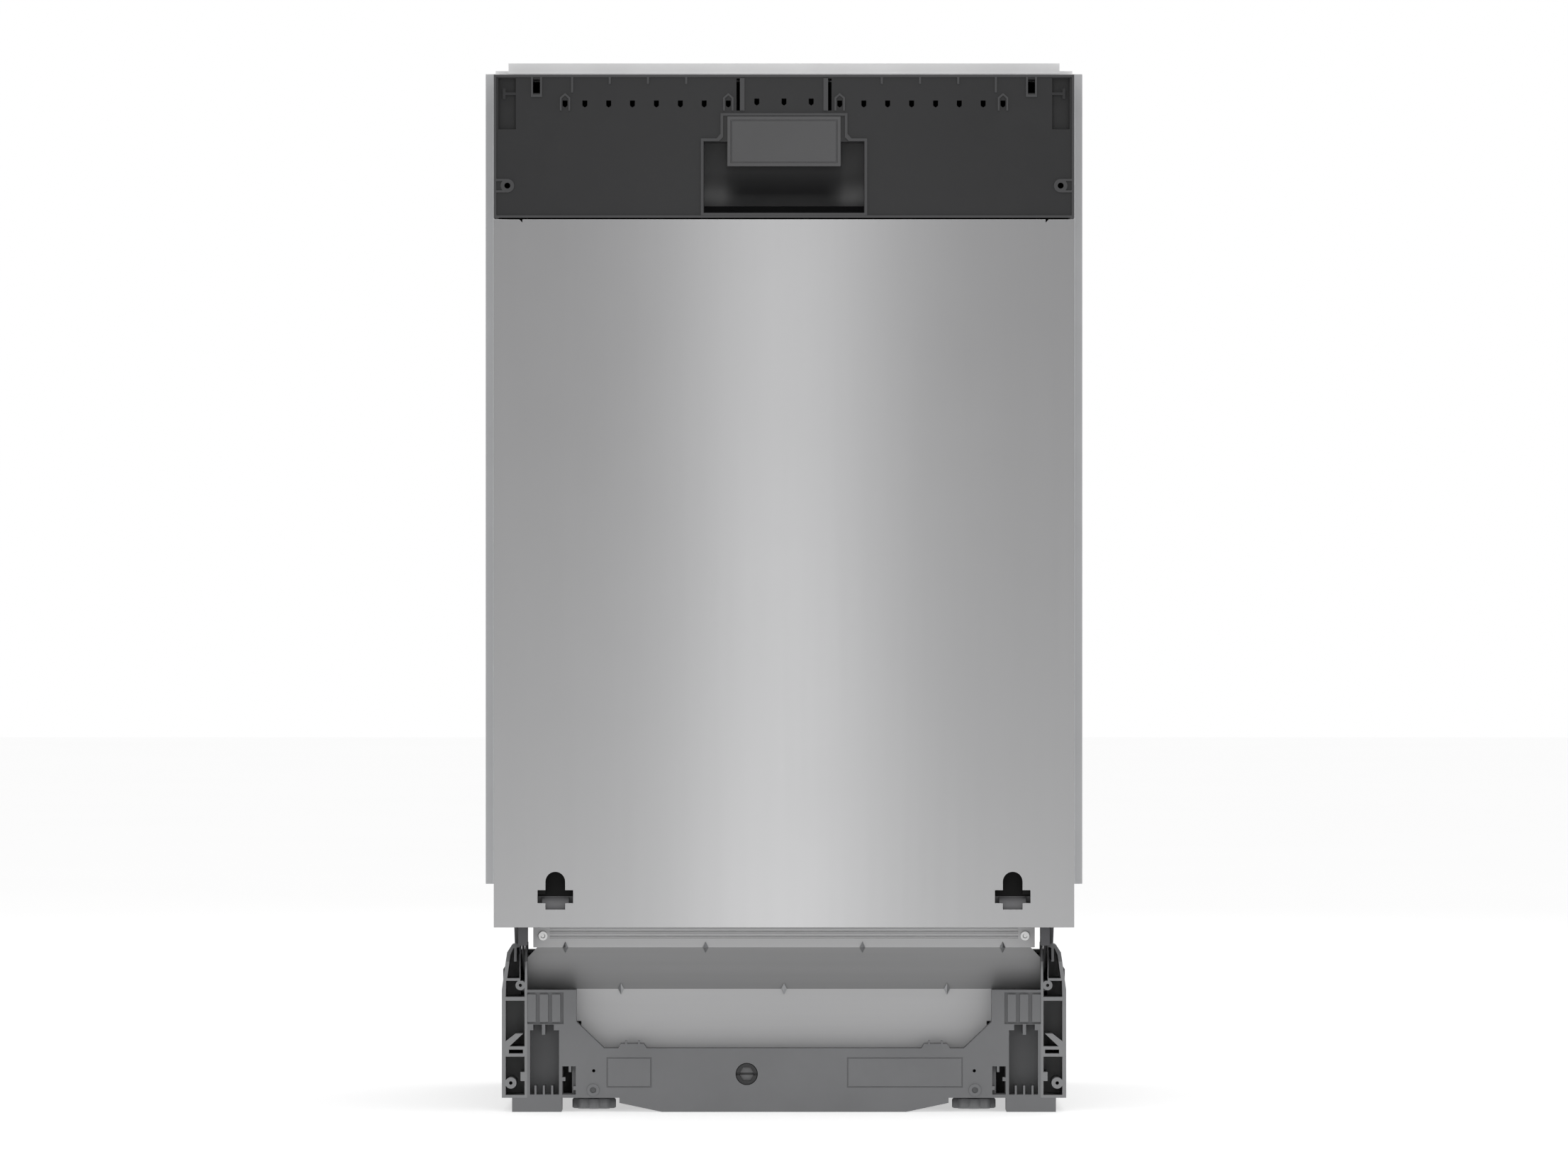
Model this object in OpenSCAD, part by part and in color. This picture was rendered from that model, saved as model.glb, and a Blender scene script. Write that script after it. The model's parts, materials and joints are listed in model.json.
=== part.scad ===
// Fully integrated 45 cm dishwasher, built in under a worktop and behind a furniture door.
// Frame: X across, front of the door towards -Y, Z up from the floor, origin under the middle.

/* [Overall] */
// Half of the width across the side fixing strips
strip_half_w = 232.2; // [230:0.1:236]
// Half of the width of the door
door_half_w = 224; // [223:0.5:226]
// Front plane of the door, measured from the middle of the depth
front_y = -275; // [-277:0.5:-273]
// Back plane of the base
back_y = 275; // [273:0.5:290]
// Height of the worktop strip's upper face
top_z = 815; // [813:0.5:820]

/* [Door] */
// Lower edge of the steel door panel
door_z0 = 145.5; // [144:0.5:147]
// Upper edge of the steel door panel
steel_z1 = 692; // [688:0.5:692.5]
// Lower edge of the black control panel
panel_z0 = 693.2; // [693:0.1:694]
// Upper edge of the black control panel
panel_z1 = 803.7; // [803:0.1:804]
// Plane of the stainless inner door
inner_y = -222; // [-223:0.5:-222]
// Thickness of the steel sheets
sheet = 1; // [0.8:0.1:1.2]
// Height of the hinge axis
hinge_z = 164; // [163:0.5:165]
// Depth of the hinge axis
hinge_y = -235; // [-236:0.5:-234]
// Radius of each hinge pin
pin_r = 4; // [3.5:0.1:4.5]
// Distance of each furniture hook opening from the middle
hook_x = 176.5; // [170:0.5:182]

/* [Control panel] */
// Half of the width of the handle recess
recess_half_w = 61.8; // [56:0.2:62]
// Lower edge of the handle recess
recess_z0 = 697; // [696.5:0.5:700]
// Upper edge of the handle recess
recess_z1 = 752; // [748:0.5:754]
// Half of the width of the latch cover
cover_half_w = 43.8; // [40:0.2:46]
// Lower edge of the latch cover
cover_z0 = 733; // [730:0.5:736]
// Upper edge of the latch cover
cover_z1 = 771.5; // [769:0.5:772]
// Distance of each furniture door screw from the middle
screw_x = 213.5; // [212:0.5:215]
// Height of the furniture door screws
screw_z = 718; // [712:0.5:724]
// Radius of the furniture door screw holes
screw_r = 2.3; // [1.8:0.1:2.5]

/* [Tub] */
// Half of the width inside the tub
tub_half_w = 194.5; // [194:0.5:195]
// Front plane of the tub
tub_y0 = -214; // [-214.5:0.5:-213.5]
// Back plane inside the tub
tub_y1 = 232; // [230:0.5:236]
// Floor inside the tub
tub_z0 = 167.5; // [167:0.5:168]
// Roof inside the tub
tub_z1 = 796.5; // [796:0.5:797]
// Thickness of the tub wall
tub_wall = 1.5; // [1:0.1:1.5]

/* [Base] */
// Front plane of the base moulding
base_y0 = -212; // [-212:0.5:-211]
// Plane where the front moulding meets the pan
pan_y0 = -172; // [-174:0.5:-170]
// Underside of the pan
pan_z0 = 11; // [10.5:0.5:12]
// Upper edge of the pan
pan_z1 = 110; // [108:0.5:112]
// Half of the width of the base
base_half_w = 219.5; // [219:0.5:220]
// Wall thickness of the plastic mouldings
wall = 3; // [2.5:0.1:3.2]
// Distance of each front foot from the middle
foot_x = 148; // [144:0.5:152]
// Radius of the star-shaped foot discs
foot_r = 17; // [14:0.5:18]

/* [Inside] */
// Radius swept by the lower spray arm
arm_r = 164; // [150:1:166]
// Depth position of the spray arm axis
arm_y = 15; // [10:1:20]
// Width of the square bars that stand for the basket wires
wire = 4; // [3:0.5:5]
// Radius of the lower basket wheels
wheel_r = 17.6; // [17:0.1:17.7]
// Height of the lower basket wheel axles
axle_z = 195; // [195:0.5:196]

/* [Hidden] */
$fn = 48;
cut = 0.5;              // overshoot of every cutting tool
running = 0.05;         // radial clearance of a running fit
steel_back_y = front_y + sheet;
field_y = front_y + 1.8;    // plane of the control panel's field, behind its rim
field_t = 2.5;
pan_back = 3;
lever_x0 = 198.5;
lever_x1 = 205.5;
lever_t = 1.5;          // thickness of the lever's folded plate
plate_x0 = 201.9;      // side plates of the hinge levers, beside the ropes
plate_x1 = 203.1;
rope_x = 204.1;
rope_r = 0.7;
lug_x = 205;            // plinth bracket's upper screw boss
lug_z = 98.5;
sump_x = -45;
sump_y = 40;
filter_x = -68;
filter_y = 56;
filter_r = 32;
salt_x = 85;
salt_y = 90;
salt_r = 28;
adjuster_x = -29;
adjuster_z = 29.5;
front_axle_y = -118;
rear_axle_y = 128;
foot_y = -190;
rear_foot_y = 240;
grey = [0.42, 0.42, 0.43];
dark = [0.07, 0.07, 0.075];
black = [0.03, 0.03, 0.033];
steel = [0.70, 0.70, 0.71];
bright = [0.80, 0.80, 0.81];

// ---- helpers ----

// Axis-aligned block between two corners
module block(x0, x1, y0, y1, z0, z1)
    translate([x0, y0, z0]) cube([x1 - x0, y1 - y0, z1 - z0]);

// The same block on the left and on the right
module blocks(x0, x1, y0, y1, z0, z1)
    both_sides() block(x0, x1, y0, y1, z0, z1);

// Children as drawn and mirrored to the left
module both_sides() {
    children();
    mirror([1, 0, 0]) children();
}

// Children drawn for the right side, kept there or mirrored to the left
module on_side(left)
    mirror([left ? 1 : 0, 0, 0]) children();

module rod_x(x0, x1, y, z, r)
    translate([x0, y, z]) rotate([0, 90, 0]) cylinder(h = x1 - x0, r = r);

module rod_y(x, y0, y1, z, r)
    translate([x, y0, z]) rotate([-90, 0, 0]) cylinder(h = y1 - y0, r = r);

module rod_z(x, y, z0, z1, r)
    translate([x, y, z0]) cylinder(h = z1 - z0, r = r);

// A drawing in X and Z, given depth from y0 to y1
module front_shape(y0, y1)
    translate([0, y1, 0]) rotate([90, 0, 0]) linear_extrude(y1 - y0) children();

// A drawing in Y and Z, given width from x0 to x1
module side_shape(x0, x1)
    translate([x0, 0, 0]) rotate([90, 0, 90]) linear_extrude(x1 - x0) children();

module rect(x0, x1, z0, z1)
    translate([x0, z0]) square([x1 - x0, z1 - z0]);

module mirrored_2d() {
    children();
    mirror([1, 0]) children();
}

// Round bar in a plane of constant x, from p to q, each given as [y, z]
module slanted_rod(x, p, q, r)
    translate([x, p[0], p[1]])
        rotate([atan2(q[1] - p[1], q[0] - p[0]), 0, 0])
            rotate([-90, 0, 0]) cylinder(h = norm(q - p), r = r);

// ---- base ----

module pan_openings() {
    // ways for the rear foot, the two hinge levers, the adjuster shaft and the two hose ends
    rod_z(0, rear_foot_y, pan_z0 - cut, pan_z0 + wall + cut, 8.6);
    blocks(196, 216.5, pan_y0 - cut, pan_y0 + wall + cut, 40, pan_z1 + cut);
    rod_y(adjuster_x, pan_y0 - cut, pan_y0 + wall + cut, adjuster_z, 5);
    rod_y(170, back_y - wall - cut, back_y + cut, 60, 15);
    rod_y(115, back_y - wall - cut, back_y + cut, 60, 11);
}

module base_pan() color(dark) {
    difference() {
        block(-base_half_w, base_half_w, pan_y0, back_y, pan_z0, pan_z1);
        block(-base_half_w + wall, base_half_w - wall, pan_y0 + wall, back_y - wall,
              pan_z0 + wall, pan_z1 + cut);
        pan_openings();
    }
    block(-base_half_w + wall, base_half_w - wall, 260, back_y - wall, pan_z1 - wall, pan_z1);
    blocks(173, 211.5, 225, 268, 0, pan_z0);
    for (x = [-110, 110]) block(x - 1.5, x + 1.5, pan_y0 + wall, -130, pan_z0 + wall, 60);
}

// Right half of one side pillar as seen from the front
module pillar_outline()
    polygon([[199.7, pan_z0], [base_half_w, pan_z0], [base_half_w, 95], [215.5, 124],
             [212, 129.5], [207, 131], [199.7, 131]]);

module pillar_cavities() {
    polygon([[205.6, 104], [215.3, 104], [212.9, 122], [210.6, 127], [205.6, 128]]);
    polygon([[201.8, 89.5], [216.5, 89.5], [216.2, 102], [201.8, 102]]);
    rect(201.8, 216.5, 61, 86.5);
    polygon([[201.8, 61], [216.5, 61], [216.5, 55], [205, 64], [201.8, 64]]);
    polygon([[201.8, 51], [201.8, 62], [213.5, 51]]);
    rect(203, 214, 45.5, 48.5);
    rect(201.8, 216.5, 13.2, 43);
}

module pillar_details() {
    rect(208, 210, 117, 128);
    translate([lug_x, lug_z]) circle(r = 3.85);
    rect(201.8, lug_x, 96.5, 99.5);
    rect(201.8, 205, 24, 31);
    translate([212.5, 22.5]) circle(r = 4.4);
    rect(212.5, 216.8, 20, 25);
}

module pillar_2d() {
    difference() {
        union() {
            difference() {
                pillar_outline();
                pillar_cavities();
            }
            pillar_details();
        }
        translate([lug_x, lug_z]) circle(r = 1.25);
        translate([212.5, 22.5]) circle(r = 1.35);
    }
}

// Rounded upper front corner that the hinge lever sweeps past
module pillar_side_2d()
    polygon([[base_y0, pan_z0], [base_y0, 117], [-201, 131.2], [pan_y0, 131.2], [pan_y0, pan_z0]]);

module pillar(left) color(grey) on_side(left)
    difference() {
        intersection() {
            union() {
                front_shape(base_y0, pan_y0) pillar_2d();
                difference() {
                    front_shape(pan_y0 - pan_back, pan_y0) pillar_outline();
                    block(200.8, 205.6, pan_y0 - pan_back - cut, pan_y0 + cut, 88, 132);
                    rod_y(lug_x, pan_y0 - pan_back - cut, pan_y0 + cut, lug_z, 3);
                }
            }
            side_shape(199, 220) pillar_side_2d();
        }
        block(201.6, 205.1, base_y0 - cut, pan_y0 + cut, 102, 132);
        block(201.2, 205.6, -190, pan_y0 + cut, 86, 105);
    }

module pillar_left() pillar(true);
module pillar_right() pillar(false);

// Front moulding between the pillars, right half seen from the front
module moulding_outline()
    polygon([[0, 0], [95, 0], [128, 7], [128, pan_z0], [173, pan_z0], [173, 0], [211.5, 0],
             [211.5, pan_z0], [199.7, pan_z0], [199.7, 95], [161.5, 95], [161.5, 70],
             [140, 49.5], [129, 49.5], [127, 53], [109, 53], [107, 49.5], [0, 49.5]]);

module moulding_pocket() {
    difference() {
        union() {
            rect(175, 197.5, 13.5, 63.5);
            rect(179, 195, 63, 68);
        }
        rect(185.7, 188.3, 60, 68.5);
        for (x = [179.5, 186, 192.5]) rect(x, x + 1.6, 13, 20.5);
    }
}

// Sunken field with three raised pads
module moulding_sinks() difference() {
    rect(171.5, 199.8, 68.5, 93);
    for (x = [174, 183.5, 193]) rect(x, x + 6.5, 70, 91.5);
}

// Snap-fit opening with teeth
module snap_opening() difference() {
    rect(162, 172.5, 13.5, 35.5);
    rect(161, 164, 17, 20);
    rect(170, 173, 24, 27);
    rect(165.5, 167.5, 31, 36);
}

module groove_frame(x0, x1, z0, z1, w)
    difference() {
        rect(x0, x1, z0, z1);
        rect(x0 + w, x1 - w, z0 + w, z1 - w);
    }

module base_front() color(grey) difference() {
    union() {
        front_shape(base_y0, pan_y0) mirrored_2d() moulding_outline();
        both_sides() rod_y(148.5, base_y0 - 0.8, base_y0 + 1, 17, 4.75);
        for (x = [112, 122]) blocks(x, x + 1.6, base_y0, base_y0 + 8, 52.9, 55.5);
    }
    front_shape(base_y0 - cut, base_y0 + 26) mirrored_2d() moulding_pocket();
    front_shape(base_y0 - cut, base_y0 + 2) mirrored_2d() moulding_sinks();
    front_shape(base_y0 - cut, base_y0 + 7) mirrored_2d() snap_opening();
    front_shape(base_y0 - cut, base_y0 + 0.7) {
        groove_frame(-138, -103, 19, 42.5, 1);
        groove_frame(49, 139, 19, 42.5, 1);
    }
    // hollow behind the front wall, with the bottom stepped as the outside is
    block(-92, 92, base_y0 + wall, pan_y0 + cut, wall, 46.5);
    blocks(91, 158, base_y0 + wall, pan_y0 + cut, pan_z0 + wall, 46.5);
    blocks(165, 172, base_y0 + 6, pan_y0 + cut, pan_z0 + wall, 92);
    both_sides() rod_y(148, base_y0 - cut, base_y0 + wall + cut, 32, 1.25);
    both_sides() rod_y(148.5, base_y0 - 2, base_y0 + 1.5, 17, 2.4);
    both_sides() rod_z(foot_x, foot_y, pan_z0 - cut, pan_z0 + wall + cut, 6.4);
    rod_y(adjuster_x, base_y0 - cut, base_y0 + wall + cut, adjuster_z, 8.6);
    // seat of the plinth sheet's lower edge
    block(-158.4, 158.4, -193.6, -191.6, 48, 96);
    block(-199.6, 199.6, -193.6, -191.6, 69.6, 96);
}

plinth_front_y = base_y0 - 0.5;
plinth_low_y = -192;
plinth_half_w = 199.5;

// Profile of the sheet's lower face and slanted face
module plinth_profile()
    polygon([[plinth_front_y, 129], [plinth_front_y, 128.3], [plinth_low_y - 1.2, 95],
             [plinth_low_y - 1.2, 49], [plinth_low_y, 49], [plinth_low_y, 94.6],
             [plinth_front_y + 1.2, 127.9], [plinth_front_y + 1.2, 129]]);

// Folded sheet: upper face with three beads, slanted face, lower face
module plinth_sheet() color(bright) {
    difference() {
        union() {
            block(-195, 195, plinth_front_y, plinth_front_y + 1.2, 128, 165);
            intersection() {
                side_shape(-plinth_half_w, plinth_half_w) plinth_profile();
                front_shape(plinth_front_y - 1, plinth_low_y + 1) mirrored_2d()
                    polygon([[0, 45], [158, 45], [158, 70], [plinth_half_w, 70],
                             [plinth_half_w, 120], [191, 129], [0, 129]]);
            }
            for (z = [136, 139.8, 143.6]) rod_x(-182, 182, plinth_front_y + 0.6, z, 1.1);
            block(-195, 195, plinth_front_y, -206, 165, tub_z0 - tub_wall);
        }
        both_sides() rod_y(187.5, plinth_front_y - cut, plinth_front_y + 2, 137, 2.1);
    }
}

module plinth_screws() color(grey) both_sides() {
    difference() {
        rod_y(187.5, plinth_front_y - 1.2, plinth_front_y, 137, 3.65);
        rod_y(187.5, plinth_front_y - 1.4, plinth_front_y - 0.6, 137, 1.6);
    }
    rod_y(187.5, plinth_front_y, plinth_front_y + 8, 137, 2);
}

// Star-shaped foot disc on a threaded stem
module foot(x, y, stem_r, stem_top) {
    difference() {
        rod_z(x, y, 2, 10, foot_r);
        for (a = [0:60:300]) translate([x, y, 0]) rotate([0, 0, a + 30]) rod_z(foot_r + 3, 0, 1, 11, 5.5);
    }
    rod_z(x, y, 10, stem_top, stem_r);
}

module front_foot_left() color(black) foot(-foot_x, foot_y, 6, 44);
module front_foot_right() color(black) foot(foot_x, foot_y, 6, 44);
module rear_foot() color(black) foot(0, rear_foot_y, 8, 92);

// Long shaft with a hexagon socket at the front and a worm at the back
module rear_adjuster() color(black) difference() {
    union() {
        rod_y(adjuster_x, base_y0 + 0.5, base_y0 + 6, adjuster_z, 8.2);
        rod_y(adjuster_x, base_y0 + 6, rear_foot_y - 12, adjuster_z, 4);
        rod_y(adjuster_x, rear_foot_y - 12, rear_foot_y + 12, adjuster_z, 14);
    }
    translate([adjuster_x, base_y0, adjuster_z]) rotate([-90, 0, 0]) cylinder(h = 5, r = 5.8, $fn = 6);
    block(adjuster_x - 9, adjuster_x + 9, base_y0, base_y0 + 2.2, adjuster_z - 0.8, adjuster_z + 0.8);
}

// ---- hinges ----

// Upright plate with the pin that the lever turns on, and the rope's guide pin
module hinge_brackets() color(steel) both_sides() {
    side_shape(206.6, 209.6)
        polygon([[-244, 158], [-241, 172], [-229, 172], [-196, 140], [-184, 131], [-205, 131]]);
    rod_x(200, 206.6, hinge_y, hinge_z, pin_r);
    rod_x(200.2, base_half_w - wall, -155, 93, 4);
}

module hinge_levers() color(dark) both_sides() {
    difference() {
        union() {
            difference() {
                block(lever_x0, lever_x1, -262, -233, 131, 330);
                block(lever_x0 - cut, lever_x1 - lever_t, -260, -232, 176, 331);
                block(lever_x0 - cut, lever_x1 - lever_t, -260, -246, 133, 176 + cut);
            }
            side_shape(plate_x0, plate_x1)
                polygon([[-246, 150], [-226, 158], [-192, 120], [-194, 108], [-203, 106], [-246, 131]]);
            rod_x(lever_x0, lever_x1, hinge_y, hinge_z, 8);
        }
        rod_x(lever_x0 - cut, lever_x1 + cut, hinge_y, hinge_z, pin_r + running);
    }
}

module door_springs() color(steel) both_sides() {
    rod_y(209, -140, 20, 50, 6);
    rod_y(209, 20, 34, 50, 1.5);
    block(205, 216.5, 30, 33, 30, 55);
}

module door_ropes() color(bright) both_sides() {
    slanted_rod(rope_x, [-197, 112], [-166, 103], rope_r);
    rod_x(rope_x - rope_r - 0.1, 210, -166, 103, rope_r + 0.2);
    slanted_rod(209, [-166, 103], [-141, 51], rope_r);
}

// ---- tub and casing ----

tub_floor_under = tub_z0 - tub_wall;
tub_out_w = tub_half_w + tub_wall;
flange_half_w = 212;
flange_z0 = 205;        // the side flanges start above the path of the hinge levers
flange_z1 = 803;
side_z0 = 150;          // the casing is open between the base and this height
track_z = hinge_z + inner_y - hinge_y;   // level with the open inner door

module tub_shell() difference() {
    block(-tub_out_w, tub_out_w, tub_y0, tub_y1 + tub_wall, tub_floor_under, tub_z1 + tub_wall);
    block(-tub_half_w, tub_half_w, tub_y0 - cut, tub_y1, tub_z0, tub_z1);
    rod_z(sump_x, sump_y, tub_floor_under - cut, tub_z0 + cut, 70);
    rod_z(salt_x, salt_y, tub_floor_under - cut, tub_z0 + cut, salt_r + 2.5);
}

module tub_flange() difference() {
    block(-flange_half_w, flange_half_w, tub_y0 - 2, tub_y0, tub_floor_under, flange_z1);
    block(-tub_half_w, tub_half_w, tub_y0 - 3, tub_y0 + cut, tub_z0, tub_z1);
    blocks(tub_out_w, flange_half_w + cut, tub_y0 - 3, tub_y0 + cut, tub_floor_under - cut, flange_z0);
}

module tub() color(steel) {
    tub_shell();
    tub_flange();
    blocks(flange_half_w - 1.5, flange_half_w, tub_y0, -204.5, flange_z0, flange_z1);
    // tracks for the lower basket's wheels, level with the open inner door
    blocks(177.5, tub_half_w, tub_y0 - 2, 205, tub_z0, track_z);
}

// Soft seal on the flange, on both sides and across the top
module tub_gasket() color(black) difference() {
    block(-208, 208, inner_y + 0.5, tub_y0 - 2, flange_z0, 800);
    block(-199, 199, inner_y - cut, tub_y0 + cut, flange_z0 - cut, 792 + 5);
}

module tub_felt() color(dark) difference() {
    block(-tub_out_w - 4, tub_out_w + 4, -205, tub_y1 - 2, 205, tub_z1 + tub_wall + 4);
    block(-tub_out_w, tub_out_w, -205 - cut, tub_y1, 205 - cut, tub_z1 + tub_wall);
}

module side_panel(left) color(bright) on_side(left)
    block(base_half_w, base_half_w + sheet, -204.5, 268, side_z0, flange_z1);

module side_panel_left() side_panel(true);
module side_panel_right() side_panel(false);

// Folded strip that closes the gap to the neighbouring cabinet
module side_strip(left) color(bright) on_side(left) {
    block(flange_half_w, strip_half_w, -206, -204.5, 177.2, 807.4);
    block(strip_half_w - 1.2, strip_half_w, -204.5, -194, 177.2, 807.4);
    block(225, 226.2, -206.9, -206, 177.2, 807.4);
}

module side_strip_left() side_strip(true);
module side_strip_right() side_strip(false);

module top_front_strip() color(bright) difference() {
    union() {
        block(-214, 214, inner_y, inner_y + 1.5, 804.2, top_z);
        block(-214, 214, inner_y, -180, top_z - 1.5, top_z);
        block(-214, 214, inner_y - 0.8, inner_y, 806.4, 807.8);
        blocks(214, 224, inner_y, inner_y + 1.5, 804.2, 809);
        block(-214, 214, tub_y0 - 2, tub_y0, flange_z1, top_z - 1.5);
    }
    for (x = [-195, 195]) rod_z(x, -198, top_z - 2, top_z + cut, 2.5);
}

module top_side_rails() color(bright) both_sides() {
    block(203, 213, -180, 266, top_z - 1.5, top_z);
    block(203, 204.5, -180, 266, flange_z1, top_z - 1.5);
}

module rear_panel() color(steel) difference() {
    union() {
        block(-base_half_w, base_half_w, 266, 268, side_z0 + 30, flange_z1);
        block(-tub_out_w, tub_out_w, 266, 268, pan_z1, side_z0 + 30);
    }
    for (z = [200:90:740]) block(-120, 120, 267.2, 268 + cut, z, z + 8);
}

// Flat water tank that warms fresh water against the tub wall
module heat_exchanger() color(bright) difference() {
    block(-base_half_w, -203, -150, 170, 230, 650);
    block(-base_half_w + 2, -205, -148, 168, 232, 648);
    for (z = [280:60:600]) block(-204, -202.5, -140, 160, z, z + 4);
}

module sump() color(dark) {
    difference() {
        union() {
            rod_z(sump_x, sump_y, 105, tub_floor_under, 73);
            rod_z(sump_x, sump_y, tub_floor_under, tub_z0, 69.5);
        }
        rod_z(sump_x, sump_y, 108, tub_z0 + cut, 66.5);
    }
    difference() {
        union() {
            rod_z(0, arm_y, 107, 203.6, 12);
            rod_z(0, arm_y, 203.6, 214, 8);
        }
        rod_z(0, arm_y, 112, 215, 6);
    }
}

module circulation_pump() color(black) {
    rod_x(40, 100, -40, 70, 38);
    rod_x(100, 135, -40, 70, 30);
    rod_x(34, 40, -40, 70, 16);
    block(60, 90, -60, -20, pan_z0 + wall, 34);
}

module drain_pump() color(grey) {
    rod_x(-150, -110, -60, 62, 26);
    rod_x(-110, -84, -60, 62, 20);
    block(-142, -118, -72, -48, pan_z0 + wall, 40);
}

// Solenoid valve with the threaded inlet and the drain spigot beside it
module inlet_valve() color(bright) {
    difference() {
        union() {
            block(148, 192, 215, 258, 38, 82);
            rod_y(170, 258, back_y - 0.5, 60, 13.2);
        }
        rod_y(170, 240, back_y + cut, 60, 9);
    }
    difference() {
        union() {
            rod_y(115, 240, back_y - 0.5, 60, 9.5);
            block(105, 148, 222, 240, 50, 70);
        }
        rod_y(115, 226, back_y + cut, 60, 7);
    }
    block(150, 190, 220, 250, pan_z0 + wall, 38);
}

module power_module() color(black) {
    block(-195, -120, 90, 200, pan_z0 + wall, 95);
    block(-190, -125, 200, 206, 30, 80);
}

// Riser behind the baskets, with a branch along the roof to the top shower
module feed_pipe() color(grey) {
    rod_z(0, 222, tub_z0, 786, 7);
    rod_y(0, arm_y + 20, 222, 786, 7);
    translate([0, 222, 786]) sphere(r = 7.6);
    rod_y(0, 200, 222, 492, 7);
    block(-22, 22, 226, tub_y1, 700, 712);
    block(-22, 22, 226, tub_y1, 300, 312);
}

module top_shower() color(grey) difference() {
    union() {
        rod_z(0, arm_y, 776, tub_z1, 20);
        translate([0, arm_y, 776]) mirror([0, 0, 1]) cylinder(h = 6, r1 = 20, r2 = 12);
    }
    for (a = [0:45:315]) translate([0, arm_y, 0]) rotate([0, 0, a]) rod_z(8, 0, 769, 790, 1.2);
}

module filter_mesh() color(steel) difference() {
    rod_z(sump_x, sump_y, tub_z0, tub_z0 + 1.8, 68);
    rod_z(filter_x, filter_y, tub_z0 - cut, tub_z0 + 2 + cut, filter_r + 0.4);
    rod_z(0, arm_y, tub_z0 - cut, tub_z0 + 2 + cut, 12.4);
    for (i = [-2:2]) for (j = [-1:1])
        rod_z(sump_x + i * 8, sump_y - 44 + j * 8, tub_z0 - cut, tub_z0 + 2 + cut, 2);
}

// Lift-out filter cup: turns a quarter turn in the filter plate
module filter_cylinder() color(grey) {
    difference() {
        rod_z(filter_x, filter_y, 124, 172, filter_r - 1);
        rod_z(filter_x, filter_y, 127, 172 + cut, filter_r - 3.5);
    }
    block(filter_x - 2, filter_x + 2, filter_y - filter_r + 2, filter_y + filter_r - 2, 150, 172);
    block(filter_x - 4, filter_x + 4, filter_y - 22, filter_y + 22, 170, 186);
}

module salt_container() color(grey) {
    difference() {
        union() {
            rod_z(salt_x, salt_y, 60, tub_floor_under, 44);
            rod_z(salt_x, salt_y, tub_floor_under, tub_z0 + 1.5, salt_r + 2);
        }
        rod_z(salt_x, salt_y, 63, 160, 41);
        rod_z(salt_x, salt_y, 155, tub_z0 + 2, salt_r - 3);
    }
}

module salt_cap() color(grey) {
    rod_z(salt_x, salt_y, tub_z0 + 1.9, tub_z0 + 9, salt_r);
    rod_z(salt_x, salt_y, 157, tub_z0 + 1.9, salt_r - 4);
    block(salt_x - 20, salt_x + 20, salt_y - 3, salt_y + 3, tub_z0 + 9, tub_z0 + 17);
}

// Tongue on the tub that enters the lock in the door
module latch_strike() color(steel) {
    block(-18, 18, tub_y0 + 0.5, tub_y0 + 2.5, 781, tub_z1);
    block(-7, 7, -236, tub_y0 + 0.5, 783, 789);
}

// C-shaped rails for the upper basket
module basket_rails() color(steel) both_sides() difference() {
    block(186, tub_half_w, -190, 200, 549, 571);
    block(185, 191.5, -190 - cut, 200 + cut, 552, 568);
}

// ---- spray arms and baskets ----

// Two-bladed arm with nozzle holes; its hub turns on a stub of radius stub_r
module spray_arm(z0, r, hub_r, hub_h, stub_r, stub_h) difference() {
    union() {
        rod_z(0, arm_y, z0, z0 + hub_h, hub_r);
        translate([0, arm_y, z0 + 3]) linear_extrude(8)
            polygon([[-r, -9], [-r + 30, -15], [-20, -19], [20, -19], [r - 25, -11], [r, -4],
                     [r, 9], [r - 30, 15], [20, 19], [-20, 19], [-r + 25, 11], [-r, 4]]);
    }
    rod_z(0, arm_y, z0 - cut, z0 + stub_h, stub_r + running);
    for (side = [-1, 1]) for (i = [1:6])
        rod_z(side * (i * (r - 35) / 6 + 14), arm_y + side * (i % 2) * 4, z0 + 2, z0 + 12, 1.6);
}

module lower_spray_arm() color(grey) spray_arm(204, arm_r, 22, 15, 8, 11);
module upper_spray_arm() color(grey) spray_arm(484, arm_r - 4, 19, 14, 7, 14 + cut);

// Even positions from a to b
function steps(a, b, n) = [for (i = [0:n]) a + (b - a) * i / n];

// Wire basket from square bars: floor grid, rims and uprights
module wire_basket(hw, y0, y1, z0, z1, z_mid, nx, ny) {
    for (x = steps(-hw, hw - wire, nx)) block(x, x + wire, y0, y1, z0, z0 + wire);
    for (y = steps(y0, y1 - wire, ny)) block(-hw, hw, y, y + wire, z0, z0 + wire);
    for (z = [z_mid, z1 - wire]) {
        blocks(hw - wire, hw, y0, y1, z, z + wire);
        block(-hw, hw, y0, y0 + wire, z, z + wire);
        block(-hw, hw, y1 - wire, y1, z, z + wire);
    }
    for (y = steps(y0, y1 - wire, ny)) blocks(hw - wire, hw, y, y + wire, z0, z1);
    for (x = steps(-hw, hw - wire, nx)) for (y = [y0, y1 - wire]) block(x, x + wire, y, y + wire, z0, z1);
}

// A row of tines along X, standing on a floor wire
module tines(x0, x1, y, n, z0, h)
    for (x = steps(x0, x1, n)) block(x, x + wire - 1, y, y + wire - 1, z0, z0 + h);

lower_y0 = -192;
lower_y1 = 198;
lower_pitch_y = (lower_y1 - wire - lower_y0) / 6;

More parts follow.
